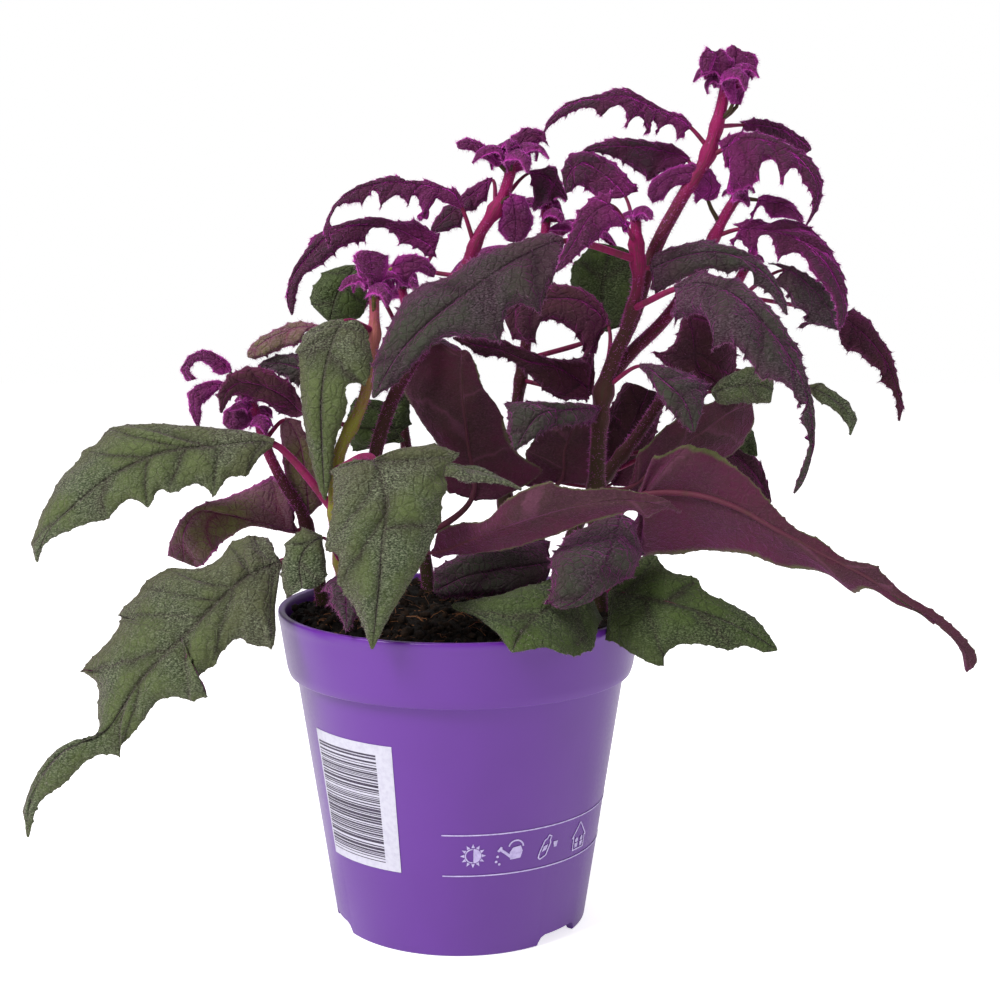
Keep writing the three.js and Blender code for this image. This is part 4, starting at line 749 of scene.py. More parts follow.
GROWN = Growth(
    reaches=(0.0, 0.05, 0.13, 0.25, 0.38, 0.52, 0.66, 0.78, 0.88, 0.95, 1.0),
    row_step=0.95, least_rows=4, most_rows=14, puff=1.5, wave=0.03, tooth=1.0, thickness=1.0,
    stalk_rings=44,
)
YOUNG = Growth(
    reaches=(0.0, 0.12, 0.3, 0.5, 0.7, 0.87, 1.0), row_step=0.9, least_rows=3, most_rows=6,
    puff=0.5, wave=0.06, tooth=0.5, thickness=0.8, stalk_rings=14,
)


@dataclass(frozen=True)
class Edge:
    """The margin of one kind of leaf: its small teeth, its roll and its hairs a millimetre."""

    tooth: float
    curl: float
    hairs: float
    longest_hair: float


EDGES: dict[Kind, Edge] = {
    Kind.MATURE: Edge(tooth=0.7, curl=0.5, hairs=3.0, longest_hair=0.9),
    Kind.DARK: Edge(tooth=1.5, curl=1.7, hairs=7.0, longest_hair=1.7),
    Kind.UNDERSIDE: Edge(tooth=0.5, curl=0.8, hairs=3.0, longest_hair=0.9),
}


class Blade:
    """One leaf's thin toothed blade with its stalk and raised rib.

    A margin is kept by its hand, 1 for the left and -1 for the right. A row crosses the blade from
    margin to margin, and its reach runs from 0 on the rib to 1 on a margin.
    """

    # The rib and the stalk
    ARCH_STEPS = 4
    RIB_SAMPLES = 160
    STALK_RADIUS = 1.15
    STALK_WIDTH = 30.0  # the blade's width that a stalk of this radius carries
    STALK_RANGE = (0.65, 1.2)
    STALK_FLARE = 1.2
    STALK_SIDES = 8
    STALK_END = 0.97
    FOOT_SWELL = 0.35
    FOOT_LENGTH = 2.2
    SHORT_STALK = 2.0
    MOST_STALK = 0.7
    STALK_TAPER, TAPER_BEND, TAPER_START, TAPER_END = 0.8, 0.7, 0.6, 0.98
    STALK_SUNK = 0.1
    TIP_HALF_WIDTH = 0.3
    # The rows
    ROW_SLANT = 1.2
    LEAST_STEP = 0.01
    SEARCH_AHEAD = 0.3
    FORMED_FOOT, FORMED_REACH, FORMED_BEND = 0.05, 0.92, 0.75
    TOOTH_OUT, NOTCH_IN = 0.35, 0.65  # as shares of the leaf's notch
    VEIN_SLANT, VEIN_BEND = 0.75, 1.2
    SLANT_RANGE = (0.5, 2.6)
    # The margins
    TOOTH_BULGE = 0.1
    ARRIVE_IN, ARRIVE_EVEN, LEAVE_IN, FOOT_AHEAD = 0.25, 0.25, 0.45, 0.6
    DENTICLE_GAP = 4.3
    DENTICLE_DRIFT, DRIFT_LENGTH = 0.25, 5.3
    DENTICLE_SIZES = (0.5, 1.2)
    DENTICLE_WIDTH = 0.36
    DENTICLE_ENDS = 8.0
    # The faces
    THICKNESS = 0.5
    EDGE_THINNING = 0.55
    FACING_PULL = 0.3
    CROWN = 0.12
    PUFF_WIDTH, MOST_PUFF, PUFF_REST, PUFF_FADE = 14.0, 1.15, 0.55, 0.7
    GROOVE_BEND = 1.6
    CURL_START, CURL_WIDTH, LEAST_CURL = 0.68, 9.0, 0.15
    VEIN_HEIGHT = 0.25
    RIB_WIDTH, RIB_HEIGHT, RIB_TAPER = 1.1, 0.5, 0.6
    WAVES = {1: 2.3, -1: 2.1}  # radians to a row
    RIPPLE, RIPPLE_LAG, RIPPLE_SIZE = 4.7, 1.3, 0.5
    PHASES = 6.28
    # The hairs
    HAIR = 0.05
    SHORTEST_MARGIN_HAIR = 0.4
    FACE_HAIR = (0.3, 0.8)
    FACE_HAIRS = 0.42  # to a square millimetre
    MARGIN_STRAY = 0.55
    FACE_STRAY = 0.5

    def __init__(self, leaf: Leaf, start: Array, name: str, growth: Growth = GROWN) -> None:
        """Lays out the rib and the rows of the blade.

        Args:
            leaf: The leaf's own places and sizes.
            start: The point on the stem that it grows from.
            name: The name that its small unevenness is drawn from.
            growth: Its age.
        """
        self.leaf, self.growth, self.random = leaf, growth, seeded(name)
        self.edge = EDGES[leaf.kind]
        self.upper = -1.0 if leaf.kind is Kind.UNDERSIDE else 1.0
        self.route = Route(self._rib_points(start))
        end = self.route.samples[-1]
        self.across = np.array([start[1] - end[1], end[0] - start[0], 0.0])
        self.base_share = min(self.MOST_STALK, self._stalk_share())
        shares, left, right = self._drawn_rows() if leaf.rib else self._formed_rows()
        widest = float(np.max(lengths(left - right)))
        scale = np.clip(widest / self.STALK_WIDTH, *self.STALK_RANGE)
        self.stalk_radius = self.STALK_RADIUS * scale
        has_stalk = self.base_share * self.route.length > self.SHORT_STALK
        first = self.base_share if has_stalk else 0.0
        foot = self._even_row(first, self.stalk_radius * self.STALK_FLARE)
        tip = self._even_row(1.0, self.TIP_HALF_WIDTH)
        self.row_shares = np.concatenate([[first], shares, [1.0]])
        margins = [np.vstack(run) for run in zip(foot, (left, right), tip)]
        self.margins = dict(zip((1, -1), margins))
        reach = np.array(growth.reaches)
        self.reach = np.concatenate([reach[:0:-1], reach])
        self.hand = np.concatenate([-np.ones(len(reach) - 1), np.ones(len(reach))])
        self._lay_fine_rows()

    @staticmethod
    def _spots(flat: tuple[float, ...]) -> Array:
        """Pairs places on the view's sheet that are given right and down in turn."""
        return np.reshape(np.array(flat, float), (-1, 2))

    def _rib_points(self, start: Array) -> Array:
        """Finds the points that the rib passes through.

        Args:
            start: The point on the stem that the leaf grows from.

        Returns:
            The points, from the stem to the tip.
        """
        leaf = self.leaf
        if leaf.rib:
            places = self._spots(leaf.rib)
            spread = np.linspace(0, len(leaf.depths) - 1, len(places))
            depths = np.interp(spread, np.arange(len(leaf.depths)), leaf.depths)
            return np.vstack([start, VIEW.at(places, depths)])
        bearing, steps = math.radians(leaf.azimuth), self.ARCH_STEPS
        slope = np.radians(leaf.rise - leaf.droop * (np.arange(steps) + 0.5) / steps)
        level = np.outer(np.cos(slope), [math.cos(bearing), math.sin(bearing), 0.0])
        rise = np.outer(np.sin(slope), [0.0, 0.0, 1.0])
        return start + np.vstack([np.zeros(3), np.cumsum((level + rise) * leaf.length / steps, 0)])

    def _rib_samples(self) -> Array:
        """Gives closely spaced points of the rib."""
        return self.route.at(np.linspace(0, 1, self.RIB_SAMPLES + 1))

    def _stalk_share(self) -> float:
        """Finds the share of the rib that is bare stalk.

        Returns:
            The share, before it is held to the most that a stalk takes.
        """
        leaf = self.leaf
        if not leaf.rib:
            return leaf.stalk / self.route.length
        base = VIEW.at(self._spots(leaf.rib)[leaf.base], leaf.depths[0])
        return float(np.argmin(lengths(self._rib_samples() - base))) / self.RIB_SAMPLES

    def _facing(self, centre: Array, ahead: Array) -> Array:
        """Finds the way that the blade faces at places on its rib.

        Args:
            centre: The places.
            ahead: The rib's direction at each.

        Returns:
            One unit direction a place.
        """
        if self.leaf.rib:
            return unit(np.array(VIEW.eye) - centre)
        return unit(np.cross(ahead, np.broadcast_to(self.across, ahead.shape)))

    def _even_row(self, share: float, half: float) -> tuple[Array, Array]:
        """Finds the ends of a row of even width.

        Args:
            share: The rib's share that it crosses.
            half: Half of its width.

        Returns:
            Its left and its right end.
        """
        centre, ahead = self.route.at(share), self.route.ahead(share)
        side = unit(np.cross(self._facing(centre, ahead), ahead)) * half
        return centre + side, centre - side

    def _drawn_rows(self) -> tuple[Array, Array, Array]:
        """Lays the drawn margin places beside the rib, turned back or forward with their side.

        Returns:
            The rib's share, the left and the right margin point of each row.
        """
        leaf, base, last_sample = self.leaf, self.base_share, self.RIB_SAMPLES
        samples = self._rib_samples()
        sheet = {1: self._spots(leaf.left), -1: self._spots(leaf.right)}
        count = len(sheet[1])
        beside = {1: base, -1: base}
        along, shares = 0.0, []
        points: dict[int, list[Array]] = {1: [], -1: []}
        for i in range(count):
            last = min(1.0, base + (1 - base) * ((i + 1) / count + self.SEARCH_AHEAD))
            for hand, places in sheet.items():
                first = round(beside[hand] * last_sample)
                near = samples[first : max(first, int(last * last_sample)) + 1]
                gaps = lengths(VIEW.at(places[i], near[:, 1]) - near)
                beside[hand] = (first + int(np.argmin(gaps))) / last_sample
                spot = self.route.at(beside[hand])
                out = lengths(VIEW.at(places[i], spot[1]) - spot)
                back = math.tan(math.radians(leaf.cup + hand * leaf.turn))
                points[hand].append(VIEW.at(places[i], spot[1] + out * back))
            middle = ((beside[1] + beside[-1]) / 2 - base) / (1 - base)
            along = max(along + self.LEAST_STEP, middle**self.ROW_SLANT)
            along = min(1 - self.LEAST_STEP * (count - i), along)
            shares.append(base + (1 - base) * along)
        return np.array(shares), np.array(points[1]), np.array(points[-1])

    def _formed_rows(self) -> tuple[Array, Array, Array]:
        """Lays the margins of a formed blade, with a tooth on one across from a notch on the other.

        Returns:
            The rib's share, the left and the right margin point of each row.
        """
        leaf, cup = self.leaf, math.radians(self.leaf.cup)
        count = 2 * leaf.teeth + 2
        shares, margins = [], ([], [])
        for i in range(count - 1):
            along = (i + 1) / count
            spread = self.FORMED_FOOT + self.FORMED_REACH * along
            past = max((spread - leaf.widest) / (1 - leaf.widest), 0)
            rising = math.sin(math.pi / 2 * min(spread / leaf.widest, 1)) ** self.FORMED_BEND
            half = leaf.width / 2 * rising * math.cos(math.pi / 2 * past) ** leaf.taper
            reaches = [half * (1 + leaf.notch * out) for out in (self.TOOTH_OUT, -self.NOTCH_IN)]
            share = self.base_share + (1 - self.base_share) * along
            centre, ahead = self.route.at(share), self.route.ahead(share)
            normal, ends = self._facing(centre, ahead), self._even_row(share, 1.0)
            for margin, end, reach in zip(margins, ends, reaches[:: 1 - 2 * (i % 2)]):
                out = (end - centre) * math.cos(cup) - normal * math.sin(cup)
                margin.append(centre + out * reach)
            shares.append(share)
        return np.array(shares), np.array(margins[0]), np.array(margins[1])

    def _lay_fine_rows(self) -> None:
        """Sets the closely spaced rows, their rib places, their margins and their vein numbers."""
        growth, rows = self.growth, np.arange(len(self.row_shares))
        gaps = np.max([lengths(np.diff(m, axis=0)) for m in self.margins.values()], axis=0)
        steps = np.ceil(gaps / growth.row_step)
        steps = np.clip(steps, growth.least_rows, growth.most_rows).astype(int)
        runs = [k + np.arange(count) / count for k, count in enumerate(steps)]
        self.row = np.concatenate([*runs, [float(len(steps))]])
        along = np.interp(self.row, rows, self.row_shares)
        self.share = (along - self.row_shares[0]) / (1 - self.row_shares[0])
        self.centre, self.ahead = self.route.at(along), self.route.ahead(along)
        self.normal = self._facing(self.centre, self.ahead)
        centres = self.route.at(self.row_shares)
        fine: dict[int, Array] = {}
        self.vein_knots: dict[int, tuple[Array, Array]] = {}
        for hand, points in self.margins.items():
            out = unit(points - centres)[1:-1]
            bulge = np.sum((points[1:-1] - (points[2:] + points[:-2]) / 2) * out, axis=1)
            is_tooth = bulge > self.TOOTH_BULGE * lengths(points[2:] - points[:-2])
            fine[hand] = self._denticled(self._curved(points, is_tooth, out))
            self.vein_knots[hand] = self._vein_knots(is_tooth)
        half = np.mean([lengths(self.margins[hand] - centres).mean() for hand in (1, -1)])
        self.half_width = float(half)
        slant = self.VEIN_SLANT * self.half_width * len(steps) / self.route.length
        self.slant = float(np.clip(slant, *self.SLANT_RANGE))
        self.margin = np.where(self.hand[None, :, None] > 0, fine[1][:, None], fine[-1][:, None])

    @staticmethod
    def _vein_knots(is_tooth: Array) -> tuple[Array, Array]:
        """Numbers a margin's rows so that each odd whole number is the row of a tooth.

        Args:
            is_tooth: Whether each inner row ends in a tooth.

        Returns:
            Some rows, and the vein number of each.
        """
        last = len(is_tooth) + 1.0
        teeth = np.flatnonzero(is_tooth) + 1.0
        teeth = teeth if len(teeth) > 1 else np.arange(1.0, last, 2)
        between = (teeth[1:] + teeth[:-1]) / 2
        places = np.sort(np.concatenate([[0.0], teeth, between, [last, last + 4.0]]))
        numbers = np.arange(len(places), dtype=float)
        numbers[-1] += 2.0
        return places, numbers

    def _denticled(self, line: Array) -> Array:
        """Adds the small teeth that stand on a margin between its large ones.

        Args:
            line: The margin at the fine rows.

        Returns:
            The margin with its small teeth.
        """
        reach = travelled(line)
        wander = self.DENTICLE_DRIFT * np.sin(reach / self.DRIFT_LENGTH)
        drift = self.random.uniform(0, 1) + wander
        away = np.abs((reach / self.DENTICLE_GAP + drift) % 1 - 0.5) * 2
        spike = np.clip(1 - away / self.DENTICLE_WIDTH, 0, 1)
        spike = spike * self.random.uniform(*self.DENTICLE_SIZES, len(line))
        ends = np.clip(np.minimum(reach, reach[-1] - reach) / self.DENTICLE_ENDS, 0, 1)
        size = self.edge.tooth * self.growth.tooth
        return line + unit(line - self.centre) * (spike * ends * size)[:, None]

    def _curved(self, points: Array, is_tooth: Array, out: Array) -> Array:
        """Curves a margin through its points, sharp at its teeth and rounded between them.

        Args:
            points: The margin's own points.
            is_tooth: Whether each inner point is a tooth's tip.
            out: The way out from the rib at each inner point.

        Returns:
            The margin at the fine rows.
        """
        chords = np.diff(points, axis=0)
        sizes, heading = lengths(chords)[:, None], unit(chords)
        even = unit(heading[:-1] + heading[1:])
        sharp = is_tooth[:, None]
        into = unit(heading[:-1] - self.ARRIVE_IN * out + self.ARRIVE_EVEN * even)
        arrive = np.where(sharp, into, even) * sizes[:-1]
        leave = np.where(sharp, unit(heading[1:] - self.LEAVE_IN * out), even) * sizes[1:]
        foot = self.FOOT_AHEAD * self.route.ahead(self.row_shares[:1])
        leave = np.vstack([unit(heading[:1] + foot) * sizes[:1], leave])
        arrive = np.vstack([arrive, chords[-1:]])
        piece = np.minimum(self.row.astype(int), len(chords) - 1)
        t = (self.row - piece)[:, None]
        return (
            points[piece] * (1 + 2 * t) * (1 - t) ** 2 + leave[piece] * t * (1 - t) ** 2
            + points[piece + 1] * (3 - 2 * t) * t**2 - arrive[piece] * (1 - t) * t**2
        )

    def _veins(self, hand: int) -> Array:
        """Numbers one side's veins: each odd whole number is a vein that ends in a tooth."""
        rows = self.row[:, None] + self.slant * (1 - self.reach[None, :]) ** self.VEIN_BEND
        return np.interp(rows, *self.vein_knots[hand])

    def _sheet(self) -> tuple[Array, Array]:
        """Works out both faces of the blade.

        Returns:
            The upper and the under face's points, by row and column.
        """
        reach = self.reach[None, :, None]
        across = self.margin - self.centre[:, None]
        half = lengths(across)[..., None]
        normal = self.normal[:, None]
        spot = self.centre[:, None] + across * reach
        spot = spot + normal * (4 * self.CROWN * reach * (1 - reach) * half)
        face = unit(np.cross(np.gradient(spot, axis=0), np.gradient(spot, axis=1)))
        side = np.where(np.sum(face * normal, axis=2, keepdims=True) < 0, -1.0, 1.0)
        outward = self.upper * unit(face * side + self.FACING_PULL * normal)
        veins = np.where(self.hand[None, :] > 0, self._veins(1), self._veins(-1))[..., None]
        groove = 0.5 + 0.5 * np.cos(np.pi * (veins - 1))
        window = np.clip(4 * reach * (1 - reach), 0, 1) ** self.PUFF_FADE
        broad = np.clip(half / self.PUFF_WIDTH, 0, self.MOST_PUFF)
        puffed = (self.PUFF_REST - groove**self.GROOVE_BEND) * window * broad * self.growth.puff
        spot = spot + outward * (puffed - self._curl(half) + self._ruffle() * half * reach**3)
        thin = self.THICKNESS * (1 - self.EDGE_THINNING * reach**2)
        thin = thin + self.VEIN_HEIGHT * groove**3 * window
        ridge = self.RIB_HEIGHT * np.exp(-((reach * half / self.RIB_WIDTH) ** 2))
        thin = thin + ridge * (1 - self.RIB_TAPER * self.share[:, None, None])
        top = spot + outward * self.THICKNESS / 2
        return top, top - outward * thin * self.growth.thickness

    def _curl(self, half: Array) -> Array:
        """Works out how far the edge rolls under, by the blade's half width at each place."""
        rolled = smooth((self.reach[None, :, None] - self.CURL_START) / (1 - self.CURL_START))
        return self.edge.curl * rolled * np.clip(half / self.CURL_WIDTH, self.LEAST_CURL, 1)

    def _ruffle(self) -> Array:
        """Works out the low waves of the margin.

        Returns:
            The rise of each place, as a share of the blade's half width.
        """
        hand, row = self.hand[None, :, None], self.row[:, None, None]
        first, second, third, _ = self.random.uniform(0, self.PHASES, 4)
        left, right = (np.sin(row * self.WAVES[k] + lag) for k, lag in ((1, first), (-1, second)))
        ripple = self.RIPPLE_SIZE * np.sin(row * self.RIPPLE + hand * self.RIPPLE_LAG + third)
        return self.growth.wave * (np.where(hand > 0, left, right) + ripple)

    def grow(self, form: Form, slots: tuple[int, int, int]) -> None:
        """Adds the blade, its stalk and its rib to a piece.

        Args:
            form: The piece's mesh.
            slots: The material slots of the upper face, the under face and the stalk.
        """
        self.top, self.under = top, under = self._sheet()
        rows, columns = top.shape[:2]
        faces = grid_faces(rows, columns)
        across = np.broadcast_to(0.5 + 0.5 * (self.reach * self.hand), (rows, columns))
        blade = np.stack([np.broadcast_to(self.share[:, None], (rows, columns)), across], -1)
        reaches = np.broadcast_to(self.reach, (rows, columns))
        veins = np.stack([np.stack([self._veins(hand), reaches], -1) for hand in (-1, 1)])
        is_left = (np.tile(np.arange(columns - 1), rows - 1) >= columns // 2).astype(int)
        corners = veins.reshape(2, -1, 2)[is_left[:, None], faces]
        flat = blade.reshape(-1, 2)
        form.add(top, faces, slots[0], flat, corners.reshape(-1, 2))
        form.add(under, faces[:, ::-1], slots[1], flat, corners[:, ::-1].reshape(-1, 2))
        row, column = outline_of(rows, columns)
        ring = np.stack([top[row, column], under[row, column]])
        side = veins[(self.hand[column] > 0).astype(int), row, column]
        closed = grid_faces(2, len(row), is_closed=True)
        form.add(ring, closed, slots[0], np.tile(blade[row, column], (2, 1)), np.tile(side, (2, 1)))
        self._grow_stalk(form, slots[2])

    def _grow_stalk(self, form: Form, slot: int) -> None:
        """Adds the round stalk, which runs on under the blade as its raised rib.

        Args:
            form: The piece's mesh.
            slot: The stalk's material slot.
        """
        along = np.linspace(0, self.STALK_END, self.growth.stalk_rings)
        centre, ahead = self.route.at(along), self.route.ahead(along)
        side = unit(np.cross(self._facing(centre, ahead), ahead))
        outward = np.cross(ahead, side) * self.upper
        base = max(self.base_share, 0.02)
        start = base * self.TAPER_START
        past = np.clip((along - start) / (self.TAPER_END - start), 0, 1)
        swell = np.exp(-along * self.route.length / self.FOOT_LENGTH)
        radius = self.stalk_radius * (1 - self.STALK_TAPER * past**self.TAPER_BEND)
        radius = radius * (1 + self.FOOT_SWELL * swell)
        sunk = smooth(along / base) * (radius - self.STALK_SUNK)
        centre = centre - outward * sunk[:, None]
        points, faces = tube(centre, ahead, radius, self.STALK_SIDES, side[0])
        where = np.repeat(np.stack([along, np.zeros_like(along)], -1), self.STALK_SIDES, axis=0)
        form.add(points, faces, slot, where)

    def hairs(self, density: float) -> tuple[Array, Array]:
        """Grows fine hairs along the margin and over both faces of a grown blade.

        Args:
            density: How closely the hairs stand, as a share of the usual.

        Returns:
            The vertices and the three-cornered faces.
        """
        rows, columns = self.top.shape[:2]
        random, middle, hairs = self.random, (self.top + self.under) / 2, Hairs(self.HAIR)
        for column, inner in ((0, 2), (columns - 1, columns - 3)):
            line = middle[:, column]
            gaps = lengths(np.diff(line, axis=0))
            number = int(gaps.sum() * self.edge.hairs * density)
            place = np.searchsorted(np.cumsum(gaps), random.uniform(0, gaps.sum(), number))
            place = np.clip(place, 0, rows - 2)
            mix = random.uniform(0, 1, (number, 1))
            out = unit(line[place] - middle[place, inner])
            stray = self.MARGIN_STRAY * random.standard_normal((number, 3))
            reach = random.uniform(self.SHORTEST_MARGIN_HAIR, self.edge.longest_hair, number)
            hairs.sow(line[place] * (1 - mix) + line[place + 1] * mix, unit(out + stray), reach)
        area = self.route.length * (1 - self.base_share) * self.half_width * 2
        number = int(area * self.FACE_HAIRS * density)
        for face, other in ((self.top, self.under), (self.under, self.top)):
            row = random.integers(0, rows - 1, number)
            column = random.integers(0, columns - 1, number)
            mix = random.uniform(0, 1, (number, 2))
            corner = face[row, column]
            along, aside = face[row + 1, column] - corner, face[row, column + 1] - corner
            stray = self.FACE_STRAY * random.standard_normal((number, 3))
            lean = unit(unit(corner - other[row, column]) + stray)
            root = corner + along * mix[:, :1] + aside * mix[:, 1:]
            hairs.sow(root, lean, random.uniform(*self.FACE_HAIR, number))
        return hairs.tufts()


def outline_of(rows: int, columns: int) -> tuple[Array, Array]:
    """Lists the outer places of a grid in turn, without repeating one.

    Args:
        rows: The grid's rows.
        columns: Its columns.

    Returns:
        The row and the column of each place.
    """
    edge = [(row, 0) for row in range(rows)]
    edge += [(rows - 1, column) for column in range(1, columns)]
    edge += [(row, columns - 1) for row in range(rows - 2, -1, -1)]
    edge += [(0, column) for column in range(columns - 2, 0, -1)]
    row, column = np.array(edge).T
    return row, column


Value = NodeSocket | float | tuple[float, ...]  # what an input is joined to or set to


class Wiring:
    """Places and joins the nodes of one material or shader group."""

    def __init__(self, tree: NodeTree) -> None:
        """Takes the tree that the nodes stand in."""
        self.tree = tree

    @classmethod
    def of_material(cls, name: str) -> tuple[Material, Wiring]:
        """Starts an empty material.

        Args:
            name: The material's name.

        Returns:
            The material and its wiring.
        """
        made = bpy.data.materials.new(name)
        made.use_nodes = True
        made.node_tree.nodes.clear()
        return made, cls(made.node_tree)

    @classmethod
    def of_group(cls, name: str, inputs: dict[str, float]) -> tuple[Wiring, Node]:
        """Starts a shader group of numbers.

        Args:
            name: The group's name.
            inputs: Each input's usual value.

        Returns:
            The group's wiring and its input node.
        """
        tree = bpy.data.node_groups.new(name, "ShaderNodeTree")
        for label, value in inputs.items():
            socket = tree.interface.new_socket(label, in_out="INPUT", socket_type="NodeSocketFloat")
            socket.default_value = value
        return cls(tree), tree.nodes.new("NodeGroupInput")

    def give(self, results: dict[str, NodeSocket]) -> NodeTree:
        """Ends a shader group with its outputs.

        Args:
            results: What each output gives.

        Returns:
            The group.
        """
        for label in results:
            self.tree.interface.new_socket(label, in_out="OUTPUT", socket_type="NodeSocketFloat")
        given = self.tree.nodes.new("NodeGroupOutput")
        for label, socket in results.items():
            self.tree.links.new(socket, given.inputs[label])
        return self.tree

    def node(
        self, kind: str, inputs: dict[str | int, Value] | None = None, **settings: object
    ) -> Node:
        """Adds a node, sets it, and joins or fills its inputs.

        Args:
            kind: The node's type, without its usual start.
            inputs: Sockets to join or values to set, by input name or number.
            settings: The node's own options.

        Returns:
            The new node.
        """
        made = self.tree.nodes.new("ShaderNode" + kind)
        for option, value in settings.items():
            setattr(made, option, value)
        for label, value in (inputs or {}).items():
            socket = made.inputs[label]
            if isinstance(value, NodeSocket):
                self.tree.links.new(value, socket)
            else:
                socket.default_value = value
        return made

    def maths(self, operation: str, *values: Value) -> NodeSocket:
        """Joins a sum on numbers and gives its result."""
        return self.node("Math", dict(enumerate(values)), operation=operation).outputs[0]

    def times(self, first: Value, second: Value) -> NodeSocket:
        """Multiplies two numbers."""
        return self.maths("MULTIPLY", first, second)

    def plus(self, first: Value, second: Value) -> NodeSocket:
        """Adds two numbers."""
        return self.maths("ADD", first, second)

    def mix(self, share: Value, first: Value, second: Value) -> NodeSocket:
        """Mixes two colours by a share."""
        return self.node("Mix", {0: share, 6: first, 7: second}, data_type="RGBA").outputs[2]

    def ramp(
        self, value: Value, low: Value, high: Value, start: Value = 0.0, end: Value = 1.0
    ) -> NodeSocket:
        """Eases a value's range onto another range."""
        inputs = {0: value, 1: low, 2: high, 3: start, 4: end}
        return self.node("MapRange", inputs, interpolation_type="SMOOTHSTEP").outputs[0]

    def place(self, stretch: Point = (1.0, 1.0, 1.0)) -> NodeSocket:
        """Gives the place on the object, in metres, stretched along its axes."""
        where = self.node("TexCoord").outputs["Object"]
        return self.node("Mapping", {0: where, 3: stretch}).outputs[0]

    def clouds(
        self,
        scale: Value,
        detail: float = 2.0,
        roughness: float = 0.5,
        where: NodeSocket | None = None,
    ) -> NodeSocket:
        """Gives soft noise over the object.

        Args:
            scale: Its waves to a metre.
            detail: How many finer layers it has.
            roughness: How strong those are.
            where: The place that it is read at, or None for the place on the object.

        Returns:
            The noise, 0 to 1.
        """
        inputs = {"Vector": where or self.place(), "Scale": scale, "Detail": detail}
        return self.node("TexNoise", {**inputs, "Roughness": roughness}).outputs[0]

    def map(self, name: str) -> tuple[NodeSocket, NodeSocket]:
        """Gives both numbers of a surface coordinate."""
        split = self.node("SeparateXYZ", {0: self.node("UVMap", uv_map=name).outputs[0]})
        return split.outputs[0], split.outputs[1]

    def group(self, tree: NodeTree, **inputs: float) -> Node:
        """Places a shader group.

        Args:
            tree: The group.
            inputs: Its inputs to set, their names with underscores for spaces.

        Returns:
            The node that holds it.
        """
        made = self.node("Group", node_tree=tree)
        for label, value in inputs.items():
            made.inputs[label.replace("_", " ")].default_value = value
        return made

    def shade(
        self,
        inputs: dict[str, Value],
        height: NodeSocket | None = None,
        strength: float = 1.0,
        depth: float = 0.001,
    ) -> None:
        """Ends a material with its shader.

        Args:
            inputs: The shader's sockets to join or set.
            height: The relief, or None for a plain surface.
            strength: How strongly the relief shows.
            depth: Its depth in metres.
        """
        if height is not None:
            relief = {"Strength": strength, "Distance": depth, "Height": height}
            inputs = {**inputs, "Normal": self.node("Bump", relief).outputs[0]}
        shader = self.node("BsdfPrincipled", inputs)
        self.node("OutputMaterial", {0: shader.outputs[0]})


